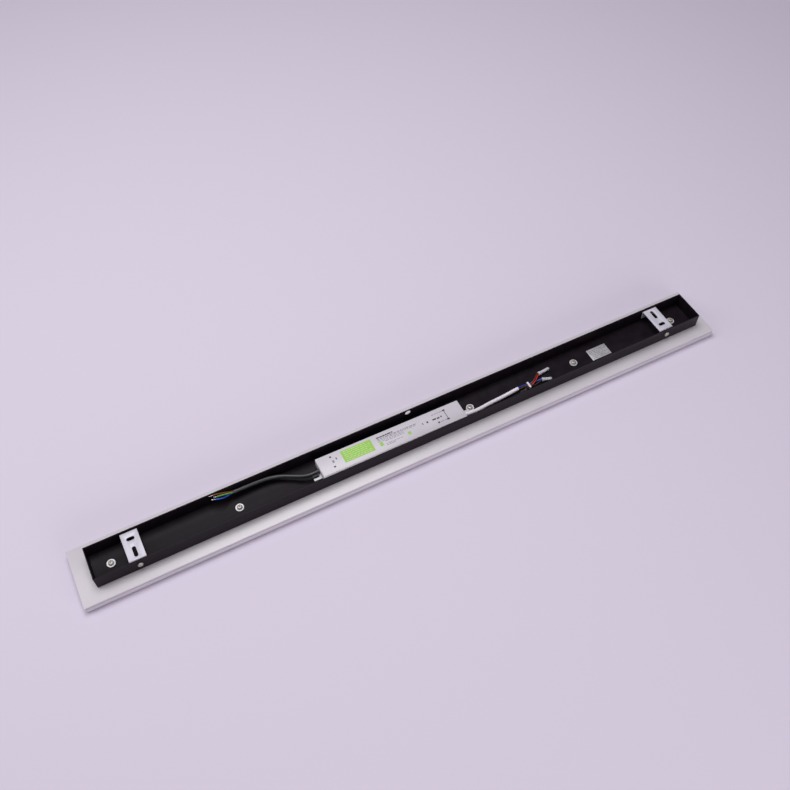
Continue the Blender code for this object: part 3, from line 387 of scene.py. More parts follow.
def pan_screw(name, shank_long):
    """A cross-recessed pan-head screw: head on Z 0 upwards, threaded shank below."""
    rings = [(0.0012, -shank_long), (SHANK_RADIUS, -shank_long + SCREW_POINT)]
    for i in range(int((shank_long - SCREW_PLAIN) / THREAD_PITCH)):
        foot = -shank_long + SCREW_POINT + i * THREAD_PITCH
        rings += [(THREAD_CREST, foot + 0.25 * THREAD_PITCH), (THREAD_CREST, foot + 0.4 * THREAD_PITCH),
                  (THREAD_ROOT, foot + 0.8 * THREAD_PITCH)]
    rings += [(SHANK_RADIUS, -SCREW_NECK), (SHANK_RADIUS, 0.0), (HEAD_RADIUS - HEAD_EDGE, 0.0),
              (HEAD_RADIUS, HEAD_EDGE), (HEAD_RADIUS, 0.45 * HEAD_HIGH),
              (0.955 * HEAD_RADIUS, 0.64 * HEAD_HIGH), (0.85 * HEAD_RADIUS, 0.81 * HEAD_HIGH),
              (0.66 * HEAD_RADIUS, 0.93 * HEAD_HIGH), (0.4 * HEAD_RADIUS, 0.99 * HEAD_HIGH), (0, HEAD_HIGH)]
    screw = lathe(name, rings, 32)
    for turn in (0, math.pi / 2):
        bpy.ops.object.select_all(action="DESELECT")
        bpy.ops.mesh.primitive_cube_add(size=1, location=(0, 0, HEAD_HIGH), scale=RECESS_SIZE,
                                        rotation=(0, 0, turn))
        cutter = bpy.context.object
        bpy.ops.object.transform_apply(location=True, rotation=True, scale=True)
        choose(cutter, "VERT", lambda v: v.co.z < HEAD_HIGH)
        bpy.ops.transform.resize(value=(RECESS_TAPER, RECESS_TAPER, 1), center_override=(0, 0, 0))
        bpy.ops.object.mode_set(mode="OBJECT")
        cut_with(screw, cutter)
    return screw


def copy_of(piece, name):
    """A copy of a finished shape with a mesh of its own."""
    made = piece.copy()
    made.data = piece.data.copy()
    made.name = made.data.name = name
    bpy.context.collection.objects.link(made)
    return made


washer_low, washer_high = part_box("tray_washer_1")
head_seat = washer_high.z + SCREW_SEAT_GAP
screw_pattern = pan_screw("floor_screw_pattern", head_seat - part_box("tray_screw_1")[0].z)
washer_pattern = lathe("washer_pattern", [(0.0023, 0.0001), (0.0024, 0.0), (0.0058, 0.0),
                                          (0.0060, 0.00015), (0.0060, 0.0008), (0.0058, 0.0010),
                                          (0.0025, 0.00098), (0.0023, 0.0009), (0.0023, 0.0001)],
                       48, (False, False))
for number in range(1, 7):
    screw_at = middle_of(f"tray_screw_{number}")
    spin = Matrix.Rotation(math.radians(23 + 61 * number), 4, "Z")
    screw = copy_of(screw_pattern, f"floor_screw_{number}")
    settle(screw, Matrix.Translation((screw_at.x, screw_at.y, head_seat)) @ spin, worn_zinc)
    stand_for(screw, "lamp", "zinc", f"tray_screw_{number}")
    washer = copy_of(washer_pattern, f"floor_washer_{number}")
    settle(washer, Matrix.Translation((screw_at.x, screw_at.y, washer_low.z)), bright_zinc)
    stand_for(washer, "lamp", "zinc", f"tray_washer_{number}")
bpy.data.objects.remove(screw_pattern, do_unlink=True)
bpy.data.objects.remove(washer_pattern, do_unlink=True)

# ---------------------------------------------------------------- wall brackets
# Two U-shaped clips punched and folded from zinc-plated sheet, each with a long and a short slot for
# the wall screws. They push into the tray, where the lock screws' tips bear on their flanges.
BRACKET_SHEET = 0.0014
BRACKET_FOLD, BRACKET_BURR = 0.0017, 0.00018
LONG_SLOT, SHORT_SLOT, SLOT_WIDTH = 0.0160, 0.0108, 0.0054
LONG_SLOT_OFFSET, SHORT_SLOT_OFFSET = 0.0098, 0.0107


def slot_cutter(x, y, z, long, wide, along):
    """A block with round ends that punches a slot."""
    bpy.ops.object.select_all(action="DESELECT")
    bpy.ops.mesh.primitive_cylinder_add(vertices=32, radius=wide / 2, depth=THROUGH_SHEET,
                                        location=(x, y, z))
    cutter = bpy.context.object
    bpy.ops.object.transform_apply(location=True, rotation=True, scale=True)
    reach = (long - wide) / 2
    axis = Vector(along)
    middle = Vector((x, y, z))
    for way in (-1, 1):
        choose(cutter, "VERT", lambda v: (v.co - middle).dot(axis) * way > wide / 2 * 0.05)
        bpy.ops.transform.translate(value=axis * way * reach)
    bpy.ops.object.mode_set(mode="OBJECT")
    return cutter


def wall_bracket(side, slot_side):
    """One bracket: a folded web and flanges, with two punched slots."""
    low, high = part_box(f"wall_bracket_{side}")
    x = (low.x + high.x) / 2
    made = block(f"wall_clip_{side}", low, high)
    choose(made, "FACE", lambda f: f.normal.z < -0.9 or abs(f.normal.x) > 0.9)
    bpy.ops.mesh.delete(type="FACE")
    choose(made, "EDGE", lambda e: all(v.co.z > high.z - 1e-5 for v in e.verts)
           and abs(e.verts[0].co.x - e.verts[1].co.x) > (high.x - low.x) / 2)
    bpy.ops.mesh.bevel(offset=BRACKET_FOLD, segments=5, affect="EDGES")
    bpy.ops.object.mode_set(mode="OBJECT")
    sheet = made.modifiers.new("sheet", "SOLIDIFY")
    sheet.thickness = BRACKET_SHEET
    sheet.offset = -1
    alone(made)
    bpy.ops.object.modifier_apply(modifier="sheet")
    cut_with(made, slot_cutter(x, slot_side * LONG_SLOT_OFFSET, high.z, LONG_SLOT, SLOT_WIDTH, (0, 1, 0)))
    cut_with(made, slot_cutter(x, -slot_side * SHORT_SLOT_OFFSET, high.z, SHORT_SLOT, SLOT_WIDTH,
                               (1, 0, 0)))
    alone(made)
    soft = made.modifiers.new("edges", "BEVEL")
    soft.width = BRACKET_BURR
    soft.segments = 2
    soft.limit_method = "ANGLE"
    soft.angle_limit = math.radians(50)
    bpy.ops.object.modifier_apply(modifier="edges")
    return made


zinc_sheet = surface("zinc_sheet", (0.52, 0.49, 0.57), (0.60, 0.57, 0.65), (0.38, 0.50), 0.012, 0.00002,
                     metallic=0.12, stretch=(1, 0.35, 1))
for side, slot_side in (("left", -1), ("right", 1)):
    clip = wall_bracket(side, slot_side)
    settle(clip, finish=zinc_sheet, smooth=25)
    stand_for(clip, f"{side}_bracket", "zinc", f"wall_bracket_{side}")

# The four lock screws are plated pan-heads too, but short. They turn in tapped holes in the tray's long
# walls, and their tips reach just to the brackets' flanges.


def aimed(point, way):
    """The turn and move that bring the Z axis to a point, looking a way."""
    return Matrix.Translation(Vector(point)) @ Vector(way).to_track_quat("Z", "Y").to_matrix().to_4x4()


head_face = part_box("tray_wall_near")[0].y - SCREW_SEAT_GAP
lock_pattern = pan_screw("lock_screw_pattern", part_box("lock_screw_left_near")[1].y - head_face)
for side in ("left", "right"):
    for which, way in (("near", -1), ("far", 1)):
        x = middle_of(f"lock_screw_{side}_{which}").x
        screw = copy_of(lock_pattern, f"lock_pan_screw_{side}_{which}")
        settle(screw, aimed((x, way * abs(head_face), lock_screw_z), (0, way, 0)), worn_zinc)
        stand_for(screw, f"{side}_{which}_lock_screw", "zinc", f"lock_screw_{side}_{which}")
bpy.data.objects.remove(lock_pattern, do_unlink=True)

# ---------------------------------------------------------------- LED driver case
# A slim moulded case of white plastic in two halves, base and lid, with a screw ear at each end. It
# leans a little, because one of the tray's screw heads is under it.
DRIVER_LENGTH, DRIVER_WIDTH, DRIVER_HIGH = 0.2255, 0.0335, 0.0150
DRIVER_BASE_HIGH, DRIVER_JOINT = 0.0114, 0.0003
DRIVER_RIGHT_END, DRIVER_RIGHT_Z = 0.0734, 0.0171      # the underside's right end
DRIVER_SCREW_X, DRIVER_SCREW_Z = -0.090, 0.0198        # the underside over the screw head
DRIVER_Y = -0.00515
CASE_EDGE, CASE_WALL = 0.0016, 0.0017
EAR_LENGTH, EAR_WIDTH, EAR_THICKNESS, EAR_SLOT = 0.0115, 0.0110, 0.0018, 0.0036
EAR_OFFSET, EAR_STEP, EAR_ROOT, EAR_EDGE = -0.0026, 0.0002, 0.0008, 0.0003
EAR_CUT = 0.012                 # length of the slot's cutter past the slot's round end
MAINS_CABLE_RADIUS, MAINS_CABLE_OFFSET = 0.0029, 0.00215
OUTPUT_CABLE_RADIUS, OUTPUT_CABLE_OFFSET = 0.0030, -0.0065
CABLE_HOLE_HEIGHT, CABLE_HOLE_CLEARANCE, CABLE_HOLE_DEPTH = 0.0064, 0.00035, 0.01
ALONG = (0, math.pi / 2, 0)     # the turn that lays a hole along the lamp
driver_slope = (DRIVER_SCREW_Z - DRIVER_RIGHT_Z) / (DRIVER_RIGHT_END - DRIVER_SCREW_X)
half_long, half_wide = DRIVER_LENGTH / 2, DRIVER_WIDTH / 2
driver_middle = Vector((DRIVER_RIGHT_END - half_long, DRIVER_Y, DRIVER_RIGHT_Z + driver_slope * half_long))
driver_seat = Matrix.Translation(driver_middle) @ Matrix.Rotation(math.atan(driver_slope), 4, "Y")
case_white = surface("case_white", (0.64, 0.61, 0.66), (0.69, 0.66, 0.71), (0.38, 0.5), 0.02, 0.00002,
                     fine=40.0)

base = rounded_slab("driver_case_base", (-half_long, -half_wide, 0),
                    (half_long, half_wide, DRIVER_BASE_HIGH), CASE_EDGE, True, CASE_WALL)
for way in (-1, 1):
    ends = sorted((way * (half_long - EAR_ROOT), way * (half_long + EAR_LENGTH)))
    ear = rounded_slab("ear", (ends[0], EAR_OFFSET - EAR_WIDTH / 2, EAR_STEP),
                       (ends[1], EAR_OFFSET + EAR_WIDTH / 2, EAR_STEP + EAR_THICKNESS), EAR_EDGE)
    slot_middle = way * (half_long + EAR_SLOT + EAR_CUT / 2)
    cut_with(ear, slot_cutter(slot_middle, EAR_OFFSET, EAR_THICKNESS / 2, EAR_CUT + EAR_SLOT, EAR_SLOT,
                              (1, 0, 0)))
    union = base.modifiers.new("ear", "BOOLEAN")
    union.operation = "UNION"
    union.solver = "EXACT"
    union.object = ear
    alone(base)
    bpy.ops.object.modifier_apply(modifier="ear")
    bpy.data.objects.remove(ear, do_unlink=True)
for way, offset, radius in ((-1, MAINS_CABLE_OFFSET, MAINS_CABLE_RADIUS),
                            (1, OUTPUT_CABLE_OFFSET, OUTPUT_CABLE_RADIUS)):
    drill(base, (way * half_long, offset, CABLE_HOLE_HEIGHT), radius + CABLE_HOLE_CLEARANCE,
          CABLE_HOLE_DEPTH, turn=ALONG)
settle(base, driver_seat, case_white)
stand_for(base, "lamp", "case_plastic", "driver_base")

lid = rounded_slab("driver_case_lid", (-half_long, -half_wide, -DRIVER_HIGH),
                   (half_long, half_wide, -DRIVER_BASE_HIGH - DRIVER_JOINT), CASE_EDGE, True, CASE_WALL)
settle(lid, driver_seat @ Matrix.Rotation(math.pi, 4, "X"), case_white)
stand_for(lid, "lamp", "case_plastic", "driver_cover")

# The printed film label on the lid: white, with a green rating panel near its left end, grey rows of
# print, small marks at both ends and a polarity line. All of the print is made of plain bars.
LABEL_LENGTH, LABEL_WIDTH, LABEL_THICKNESS = 0.2223, 0.0303, 0.0002
LABEL_GAP, LABEL_EDGE = 0.0003, 0.00004
INK_LIFT, INK_THICKNESS = 0.00002, 0.00001
PANEL_GREEN = (0.27, 0.50, 0.075)
WORD_SHORTEST, WORD_GROWTH = 0.0022, 0.0016 / 2.2
label_z = DRIVER_HIGH + LABEL_GAP
label = rounded_slab("driver_label_film", (-LABEL_LENGTH / 2, -LABEL_WIDTH / 2, label_z),
                     (LABEL_LENGTH / 2, LABEL_WIDTH / 2, label_z + LABEL_THICKNESS), LABEL_EDGE)
label_film = surface("label_film", (0.55, 0.515, 0.57), (0.58, 0.545, 0.60), (0.30, 0.38), 0.03,
                     0.000008, fine=30.0)
settle(label, driver_seat, label_film)
stand_for(label, "lamp", "printed_label", "driver_label")


def print_bars(name, bars, colour, top, fit, slot="printed_label"):
    """Flat printed bars (left, low, right, high) at a height, in one colour, as one thin piece."""
    bpy.ops.object.select_all(action="DESELECT")
    made = None
    for left, low, right, high in bars:
        bpy.ops.mesh.primitive_plane_add(size=1, location=((left + right) / 2, (low + high) / 2, top))
        bar = bpy.context.object
        bar.scale = (right - left, high - low, 1)
        bpy.ops.object.transform_apply(location=True, rotation=True, scale=True)
        if made:
            made.select_set(True)
            bpy.context.view_layer.objects.active = made
            bpy.ops.object.join()
        else:
            made = bar
    made.name = made.data.name = name
    alone(made)
    film = made.modifiers.new("ink", "SOLIDIFY")
    film.thickness = INK_THICKNESS
    film.offset = 1
    bpy.ops.object.modifier_apply(modifier="ink")
    ink = surface(f"{name}_ink", colour, tuple(min(1, 1.12 * c) for c in colour), (0.4, 0.5), 0.002)
    settle(made, fit, ink)
    return stand_for(made, "lamp", slot)


def word_row(left, right, y, high, seed, gap=0.0012):
    """Bars of uneven length that fill a row like words."""
    bars, x, step = [], left, 0
    while x < right - 0.001:
        long = WORD_SHORTEST + WORD_GROWTH * ((seed * 7 + step * 5) % 6)
        bars.append((x, y - high / 2, min(x + long, right), y + high / 2))
        x += long + gap
        step += 1
    return bars


ink_z = label_z + LABEL_THICKNESS + INK_LIFT
print_bars("label_green_panel", [(-0.0766, -0.0079, -0.0302, 0.0121)], PANEL_GREEN, ink_z, driver_seat)
panel_rows = []
for row, y in enumerate((0.0098, 0.0066, 0.0034, 0.0002, -0.0030, -0.0058)):
    panel_rows += word_row(-0.0735, -0.0335 if row % 3 else -0.0400, y, 0.0010, row + 2)
print_bars("label_panel_rows", panel_rows, (0.44, 0.64, 0.25), ink_z + INK_LIFT, driver_seat)
grey_rows = []
for row, (y, right) in enumerate(((0.0086, 0.0000), (0.0062, 0.0395), (0.0040, 0.0380), (0.0018, 0.0180),
                                  (-0.0004, 0.0200), (-0.0052, 0.0150), (-0.0074, 0.0010))):
    left = -0.0217 if y > 0.001 else -0.0120
    grey_rows += word_row(left, right, y, 0.0013 if row < 2 else 0.0008, row + 1)
print_bars("label_word_rows", grey_rows, (0.16, 0.15, 0.18), ink_z, driver_seat)
print_bars("label_heading_row", word_row(-0.0217, 0.0040, 0.0090, 0.0018, 3, 0.0009),
           (0.03, 0.028, 0.035), ink_z + INK_LIFT, driver_seat)
print_bars("label_green_marks", [(-0.0212, -0.0060, -0.0160, 0.0002), (0.0228, -0.0062, 0.0275, -0.0012)],
           PANEL_GREEN, ink_z, driver_seat)
dark_marks = [(-0.0936, 0.0087, -0.0908, 0.0113), (-0.0937, -0.0083, -0.0909, -0.0057),
              (-0.0862, 0.0028, -0.0846, 0.0062), (0.0480, -0.0002, 0.0492, 0.0028),
              (0.0545, -0.0004, 0.0570, 0.0026), (0.0640, -0.0002, 0.0700, 0.0022),
              (0.0712, -0.0006, 0.0752, 0.0018), (0.0770, 0.0000, 0.0790, 0.0024),
              (0.0856, -0.0069, 0.0864, 0.0093), (0.0840, 0.0080, 0.0880, 0.0104),
              (0.0838, -0.0082, 0.0878, -0.0058), (0.0694, -0.0080, 0.0722, -0.0054)]
print_bars("label_dark_marks", dark_marks, (0.035, 0.030, 0.040), ink_z, driver_seat)
faint_rows = word_row(0.0660, 0.0830, 0.0088, 0.0011, 2) + word_row(0.0735, 0.0835, -0.0068, 0.0011, 4)
faint_rows += word_row(-0.0925, -0.0885, 0.0016, 0.0044, 1, 0.0005)
print_bars("label_faint_rows", faint_rows, (0.22, 0.20, 0.24), ink_z, driver_seat)

# Inside the case: a green circuit board with its soldered parts, a choke, a transformer and three
# sleeved capacitors, and a clamp on each cable. The case hides them, so the CAD shapes stay.
board_green = surface("solder_mask", (0.02, 0.15, 0.05), (0.04, 0.24, 0.09), (0.3, 0.45), 0.006, 0.00002)
ferrite = surface("ferrite", (0.02, 0.02, 0.02), (0.05, 0.048, 0.045), (0.5, 0.7), 0.003, 0.00003)
capacitor_sleeve = surface("capacitor_sleeve", (0.012, 0.012, 0.035), (0.03, 0.03, 0.07), (0.25, 0.35),
                           0.006)
dress("driver_pcb", board_green)
for node in ("driver_choke", "driver_transformer"):
    dress(node, ferrite)
for node in ("driver_mains_capacitor", "driver_output_capacitor_1", "driver_output_capacitor_2"):
    dress(node, capacitor_sleeve)
for node in ("input_cable_clamp", "output_cable_clamp"):
    dress(node, case_white)

# Grey closed-cell foam under both ends of the case, stuck to the tray floor. Each pad is cut to the
# wedge of space under the case.
foam = surface("grey_foam", (0.13, 0.13, 0.135), (0.24, 0.24, 0.25), (0.85, 0.95), 0.0025, 0.00015)
for node in ("driver_pad_left", "driver_pad_right"):
    dress(node, foam)

# ---------------------------------------------------------------- rating label
# A silver film label stuck to the tray floor, with rows of fine print and a ruled line above and
# below them. All of the print is made of plain bars.
RATING_ROWS, RATING_ROW_PITCH, RATING_TOP_MARGIN = 6, 0.0028, 0.0035
RATING_SIDE_MARGIN, RATING_SHORT_ROW = 0.0022, 0.0070
BORDER_INSET, BORDER_WIDTH = 0.0008, 0.0002
rating_low, rating_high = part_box("rating_label")
film_silver = surface("silver_film", (0.50, 0.49, 0.52), (0.58, 0.57, 0.60), (0.3, 0.42), 0.006, 0.00001,
                      metallic=0.35)
rating = rounded_slab("rating_film", rating_low, rating_high, LABEL_EDGE)
settle(rating, finish=film_silver)
stand_for(rating, "lamp", "silver_label", "rating_label")
rating_bars = []
for row in range(RATING_ROWS):
    y = rating_high.y - RATING_TOP_MARGIN - RATING_ROW_PITCH * row
    right = rating_high.x - (RATING_SIDE_MARGIN if row % 2 else RATING_SHORT_ROW)
    rating_bars += word_row(rating_low.x + RATING_SIDE_MARGIN, right, y, 0.0008, row + 3)
print_bars("rating_rows", rating_bars, (0.16, 0.15, 0.17), rating_high.z + INK_LIFT, Matrix.Identity(4),
           "silver_label")
left, right = rating_low.x + BORDER_INSET, rating_high.x - BORDER_INSET
low_y, high_y = rating_low.y + BORDER_INSET, rating_high.y - BORDER_INSET
border_bars = [(left, low_y, right, low_y + BORDER_WIDTH), (left, high_y - BORDER_WIDTH, right, high_y)]
print_bars("rating_border", border_bars, (0.20, 0.19, 0.21), rating_high.z + INK_LIFT,
           Matrix.Identity(4), "silver_label")

# ---------------------------------------------------------------- mains cable
# The driver's round black three-core supply lead. It comes straight out of the driver's end, swings
# across the tray and lies along the far wall. Its sheath is cut off square where the cores come out.
LEAD_STEP = 0.0015
MAINS_ROUTE = [(-0.1460, -0.0030, 0.0271), (-0.1521, -0.0030, 0.0272), (-0.1600, -0.0032, 0.0269),
               (-0.1680, -0.0026, 0.0261), (-0.1760, 0.0003, 0.0253), (-0.1860, 0.0062, 0.0246),
               (-0.1965, 0.0123, 0.0243), (-0.2075, 0.0170, 0.0245), (-0.2195, 0.0196, 0.0251),
               (-0.2320, 0.0203, 0.0258), (-0.2450, 0.0204, 0.0264), (-0.2580, 0.0200, 0.0270),
               (-0.2700, 0.0199, 0.0277)]
black_sheath = surface("black_sheath", (0.020, 0.019, 0.022), (0.034, 0.032, 0.036), (0.30, 0.42),
                       0.006, 0.00002)


def smooth_route(points, spacing):
    """Points a spacing apart on the smooth curve that a flexible lead takes through a route."""
    cuts = 24
    spots = [Vector(p) for p in points]
    spots = [2 * spots[0] - spots[1]] + spots + [2 * spots[-1] - spots[-2]]
    fine = []
    for a, b, c, d in zip(spots, spots[1:], spots[2:], spots[3:]):
        for i in range(cuts):
            t = i / cuts
            fine.append(((1 - t) ** 3 * a + (3 * t ** 3 - 6 * t * t + 4) * b
                         + (1 + 3 * t + 3 * t * t - 3 * t ** 3) * c + t ** 3 * d) / 6)
    fine.append(spots[-2])
    lengths = [0.0]
    for p, q in zip(fine, fine[1:]):
        lengths.append(lengths[-1] + (q - p).length)
    count = max(2, round(lengths[-1] / spacing))
    route, at = [], 0
    for i in range(count + 1):
        want = lengths[-1] * i / count
        while at < len(lengths) - 2 and lengths[at + 1] < want:
            at += 1
        share = (want - lengths[at]) / (lengths[at + 1] - lengths[at])
        route.append(fine[at].lerp(fine[at + 1], min(1.0, share)))
    return route, lengths[-1]


def lead(name, points, radius, finish, slot, *nodes):
    """A round insulated lead along a route, standing for CAD nodes if any; gives it and its length."""
    curve = bpy.data.curves.new(name, "CURVE")
    curve.dimensions = "3D"
    curve.bevel_depth = radius
    curve.bevel_resolution = 6
    curve.use_fill_caps = True
    route, long = smooth_route(points, min(LEAD_STEP, radius))
    line = curve.splines.new("POLY")
    line.points.add(len(route) - 1)
    for spot, point in zip(line.points, route):
        spot.co = (*point, 1.0)
    line.use_smooth = True
    curve.materials.append(finish)
    made = bpy.data.objects.new(name, curve)
    bpy.context.collection.objects.link(made)
    return stand_for(made, "lamp", slot, *nodes), long


mains_cable, mains_length = lead("mains_cable_sheath", MAINS_ROUTE, MAINS_CABLE_RADIUS, black_sheath,
                                 "black_pvc", "mains_cable")

# The three cores of the mains cable, in brown, blue and yellow-green PVC, spread a little apart.
# Each one's last few millimetres are stripped, and the bare strands are twisted and tinned.
MAINS_LEAD_RADIUS = 0.0010
STRIPE_RADIUS, STRIPE_SHIFT = 0.00086, Vector((0, -0.00020, 0.00022))
TIP_LENGTH = 0.0050
CORE_ROUTES = {
    "brown": [(-0.2704, 0.02107, 0.0284), (-0.2765, 0.0216, 0.0303), (-0.2845, 0.0221, 0.0334),
              (-0.2925, 0.0223, 0.0360), (-0.2975, 0.0223, 0.0366)],
    "earth": [(-0.2704, 0.01873, 0.0284), (-0.2760, 0.0190, 0.0298), (-0.2835, 0.0193, 0.0318),
              (-0.2925, 0.0198, 0.0335)],
    "blue": [(-0.2704, 0.0199, 0.02635), (-0.2760, 0.0184, 0.0273), (-0.2810, 0.0166, 0.0290),
             (-0.2860, 0.0153, 0.0310), (-0.2910, 0.0157, 0.0322), (-0.2960, 0.0170, 0.0330)]}
brown_pvc = surface("brown_insulation", (0.11, 0.035, 0.014), (0.16, 0.055, 0.02), (0.3, 0.42),
                    0.003, 0.00001)
blue_pvc = surface("blue_insulation", (0.010, 0.05, 0.33), (0.02, 0.09, 0.48), (0.3, 0.42), 0.003,
                   0.00001)
earth_yellow = surface("earth_yellow", (0.72, 0.55, 0.03), (0.85, 0.68, 0.06), (0.3, 0.42), 0.003,
                       0.00001)
earth_green = surface("earth_green", (0.02, 0.20, 0.04), (0.03, 0.28, 0.06), (0.3, 0.42), 0.003,
                      0.00001)
tinned = surface("tinned_strands", (0.62, 0.60, 0.58), (0.80, 0.78, 0.75), (0.22, 0.38), 0.0012,
                 0.00002, metallic=1.0)


def strand_tip(name, start, way, node):
    """Seven twisted strands, six of them wound round the middle one, ending together."""
    strand_radius, lay_radius = 0.00021, 0.00044
    steps, twist, narrowing, start_share = 14, 1.3, 0.12, 0.02
    turn = way.to_track_quat("Z", "Y")
    curve = bpy.data.curves.new(name, "CURVE")
    curve.dimensions = "3D"
    curve.bevel_depth = strand_radius
    curve.bevel_resolution = 2
    curve.use_fill_caps = True
    for number in range(7):
        line = curve.splines.new("POLY")
        line.points.add(steps)
        for i, spot in enumerate(line.points):
            share = i / steps
            angle = 2 * math.pi * (number / 6 + twist * share)
            out = 0.0 if number == 6 else lay_radius * (1 - narrowing * share)
            high = TIP_LENGTH * (start_share + (1 - start_share) * share)
            at = Vector((out * math.cos(angle), out * math.sin(angle), high))
            spot.co = (*(start + turn @ at), 1.0)
    curve.materials.append(tinned)
    made = bpy.data.objects.new(name, curve)
    bpy.context.collection.objects.link(made)
    return stand_for(made, "lamp", "tinned_copper", node)


on_mains = []
for colour, finish in (("brown", brown_pvc), ("earth", earth_yellow), ("blue", blue_pvc)):
    route = CORE_ROUTES[colour]
    core, _long = lead(f"mains_core_{colour}", route, MAINS_LEAD_RADIUS, finish, f"{colour}_pvc",
                       f"mains_lead_{colour}")
    end = Vector(route[-1])
    tip = strand_tip(f"mains_strands_{colour}", end, (end - Vector(route[-2])).normalized(),
                     f"mains_tip_{colour}")
    on_mains += [core, tip]
    if colour == "earth":
        stripe, _long = lead("mains_core_earth_stripe", [Vector(p) + STRIPE_SHIFT for p in route],
                             STRIPE_RADIUS, earth_green, "earth_pvc")
        on_mains.append(stripe)

# ---------------------------------------------------------------- output cable and LED leads
# The round white two-core lead from the driver's other end lies on the tray floor. Its brown and blue
# cores meet the red and black leads that come up from the LED boards through a bush in the floor.
LED_LEAD_RADIUS = 0.0009
OUTPUT_ROUTE = [(0.0674, -0.01165, 0.0236), (0.0734, -0.01165, 0.0235), (0.0815, -0.0118, 0.0229),
                (0.0900, -0.0117, 0.0214), (0.1000, -0.0106, 0.0198), (0.1090, -0.0092, 0.0189),
                (0.1190, -0.0080, 0.0188), (0.1360, -0.0075, 0.0188), (0.1540, -0.0058, 0.0188),
                (0.1690, -0.0045, 0.0188)]
BLUE_CORE = [(0.1694, -0.0033, 0.0190), (0.1730, -0.0027, 0.0188), (0.1770, -0.0025, 0.0184),
             (0.1810, -0.0026, 0.0181), (0.1850, -0.0028, 0.0179), (0.1890, -0.0028, 0.0179),
             (0.1925, -0.0029, 0.0174), (0.1960, -0.0033, 0.0169), (0.1995, -0.0039, 0.0168),
             (0.2030, -0.0043, 0.0170), (0.2060, -0.0045, 0.0177), (0.2082, -0.0048, 0.0184),
             (0.2100, -0.0053, 0.0187), (0.21176, -0.0059, 0.0187), (0.21366, -0.00655, 0.0187)]
BROWN_CORE = [(0.1694, -0.0057, 0.0188), (0.1730, -0.0056, 0.0185), (0.1770, -0.0053, 0.0182),
              (0.1810, -0.0050, 0.0180), (0.1850, -0.0049, 0.0179), (0.1890, -0.0049, 0.0179),
              (0.1920, -0.0048, 0.0187), (0.1955, -0.0037, 0.0195), (0.1995, -0.0013, 0.0197),
              (0.2030, 0.0015, 0.0194), (0.2060, 0.0040, 0.0190), (0.2082, 0.0056, 0.0188),
              (0.2102, 0.0063, 0.0187), (0.2123, 0.0065, 0.0187), (0.2145, 0.0067, 0.0187)]
RED_LEAD = [(0.1745, -0.0131, 0.0094), (0.1745, -0.0131, 0.0120), (0.1745, -0.0131, 0.0145),
            (0.1746, -0.0131, 0.0168), (0.1751, -0.0128, 0.0190), (0.1764, -0.0119, 0.0207),
            (0.1785, -0.0105, 0.0213), (0.1806, -0.0092, 0.0206), (0.1828, -0.0080, 0.0190),
            (0.1852, -0.0071, 0.0179), (0.1890, -0.0071, 0.0179), (0.1925, -0.0070, 0.0183),
            (0.1960, -0.0061, 0.0191), (0.2000, -0.0039, 0.0195), (0.2034, -0.0013, 0.0192),
            (0.2060, 0.0010, 0.0189), (0.2082, 0.0028, 0.0188), (0.2102, 0.0037, 0.0187),
            (0.2124, 0.0041, 0.0187), (0.2145, 0.0043, 0.0187)]
BLACK_LEAD = [(0.1745, -0.0153, 0.0094), (0.1745, -0.0153, 0.0120), (0.1745, -0.0153, 0.0145),
              (0.1746, -0.0153, 0.0168), (0.1751, -0.0150, 0.0190), (0.1764, -0.0142, 0.0207),
              (0.1785, -0.0129, 0.0213), (0.1807, -0.0116, 0.0206), (0.1829, -0.0103, 0.0190),
              (0.1853, -0.0093, 0.0179), (0.1890, -0.0093, 0.0179), (0.1930, -0.0094, 0.0175),
              (0.1970, -0.0092, 0.0173), (0.2010, -0.0084, 0.0175), (0.2045, -0.0076, 0.0181),
              (0.2072, -0.0073, 0.0186), (0.2091, -0.0075, 0.0187), (0.2110, -0.0081, 0.0187),
              (0.2129, -0.0087, 0.0187)]
white_sheath = surface("white_sheath", (0.80, 0.75, 0.84), (0.88, 0.83, 0.92), (0.32, 0.45), 0.006,
                       0.00002)
red_pvc = surface("red_insulation", (0.52, 0.012, 0.012), (0.70, 0.025, 0.02), (0.28, 0.4), 0.003,
                  0.00001)
output_cable, output_length = lead("output_cable_sheath", OUTPUT_ROUTE, OUTPUT_CABLE_RADIUS,
                                   white_sheath, "white_pvc", "output_cable")
blue_core, blue_length = lead("output_core_blue", BLUE_CORE, LED_LEAD_RADIUS, blue_pvc, "blue_pvc",
                              "output_lead_blue")
brown_core, brown_length = lead("output_core_brown", BROWN_CORE, LED_LEAD_RADIUS, brown_pvc,
                                "brown_pvc", "output_lead_brown")
red_lead, red_length = lead("led_feed_red", RED_LEAD, LED_LEAD_RADIUS, red_pvc, "red_pvc",
                            "led_lead_red")
black_lead, black_length = lead("led_feed_black", BLACK_LEAD, LED_LEAD_RADIUS, black_sheath,
                                "black_pvc", "led_lead_black")

# A thin black sleeve is shrunk on the red lead on its way from the bush to the tie. It starts just above
# the bush and ends just short of the tie.
SLEEVE_RADIUS = LED_LEAD_RADIUS + 0.0001
SLEEVE_FROM_Z, SLEEVE_TO_X = 0.0172, 0.1850
under_sleeve = [Vector(spot.co[:3]) for spot in red_lead.data.splines[0].points]
under_sleeve = [spot for spot in under_sleeve if spot.z > SLEEVE_FROM_Z and spot.x < SLEEVE_TO_X]
sleeve, _long = lead("led_feed_sleeve", under_sleeve, SLEEVE_RADIUS, black_sheath, "black_pvc")

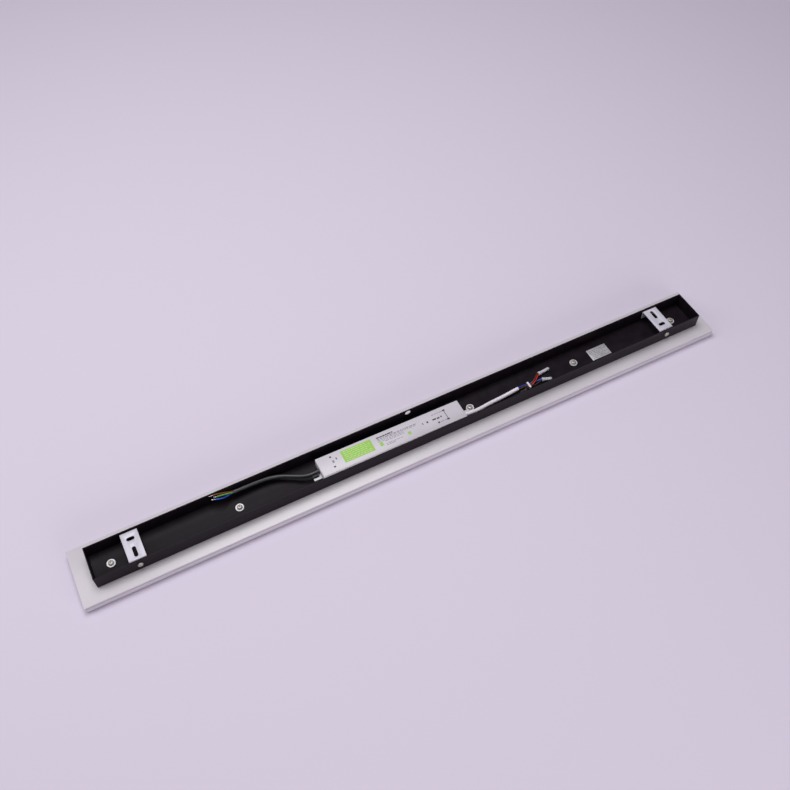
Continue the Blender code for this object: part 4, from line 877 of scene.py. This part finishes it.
# ---------------------------------------------------------------- splice caps and lead tie
# Closed-end crimp caps of clear nylon, one on the brown and red leads and one on the blue and black
# ones. Each has a wide mouth, a pinched waist where it is crimped, and a domed end.
CAP_RADIUS, CAP_BORE, CAP_BORE_DEPTH, CRIMP_PINCH = 0.0030, 0.0025, 0.0088, 0.80
clear_nylon = surface("clear_nylon", (0.80, 0.76, 0.84), (0.91, 0.87, 0.95), (0.18, 0.3), 0.004,
                      0.00002)
nylon_shader = clear_nylon.node_tree.nodes["Principled BSDF"]
nylon_shader.inputs["Transmission Weight"].default_value = 0.35
nylon_shader.inputs["IOR"].default_value = 1.5
for name, node, mouth, tip in (("splice_cap_clear_1", "splice_cap_red", (0.2098, 0.0050, 0.0187),
                                (0.2305, 0.0070, 0.0187)),
                               ("splice_cap_clear_2", "splice_cap_black", (0.2095, -0.0064, 0.0187),
                                (0.2245, -0.0113, 0.0187))):
    way = Vector(tip) - Vector(mouth)
    long = way.length
    rings = [(0.0016, CAP_BORE_DEPTH), (CAP_BORE, CAP_BORE_DEPTH - 0.0006), (CAP_BORE, 0.0004),
             (0.0027, 0.0), (CAP_RADIUS, 0.0003), (CAP_RADIUS, 0.0036), (0.00285, 0.0044),
             (0.00255, 0.0050), (0.00255, long * 0.55), (0.00245, long * 0.62), (0.0025, long * 0.72),
             (0.0024, long - 0.0020), (0.0019, long - 0.0008), (0.0010, long - 0.0002), (0, long)]
    cap = lathe(name, rings, 28)
    choose(cap, "VERT", lambda v: 0.52 * long < v.co.z < 0.70 * long)
    bpy.ops.transform.resize(value=(1.0, CRIMP_PINCH, 1.0), center_override=(0, 0, long * 0.6))
    bpy.ops.object.mode_set(mode="OBJECT")
    settle(cap, aimed(mouth, way), clear_nylon)
    stand_for(cap, "lamp", "clear_nylon", node)

# A small white nylon tie holds the four leads together. It is a flat band closed round them, with its
# corners rounded.
TIE_BAND, TIE_EDGE = 0.0009, 0.0006
tie_low, tie_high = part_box("lead_tie")
tie = block("lead_tie_band", tie_low, tie_high)
choose(tie, "FACE", lambda f: abs(f.normal.x) > 0.9)
bpy.ops.mesh.inset(thickness=TIE_BAND)
bpy.ops.mesh.bridge_edge_loops()
choose(tie, "EDGE", lambda e: abs((e.verts[0].co - e.verts[1].co).normalized().x) > 0.9)
bpy.ops.mesh.bevel(offset=TIE_EDGE, segments=4, affect="EDGES")
bpy.ops.object.mode_set(mode="OBJECT")
white_nylon = surface("white_nylon", (0.76, 0.75, 0.76), (0.86, 0.85, 0.86), (0.3, 0.42), 0.003,
                      0.00001)
settle(tie, finish=white_nylon, smooth=40)
stand_for(tie, "lamp", "white_pvc", "lead_tie")

for core, long, start, on_core in ((blue_core, blue_length, BLUE_CORE[0], []),
                                   (brown_core, brown_length, BROWN_CORE[0], []),
                                   (red_lead, red_length, RED_LEAD[0], [sleeve]),
                                   (black_lead, black_length, BLACK_LEAD[0], [])):
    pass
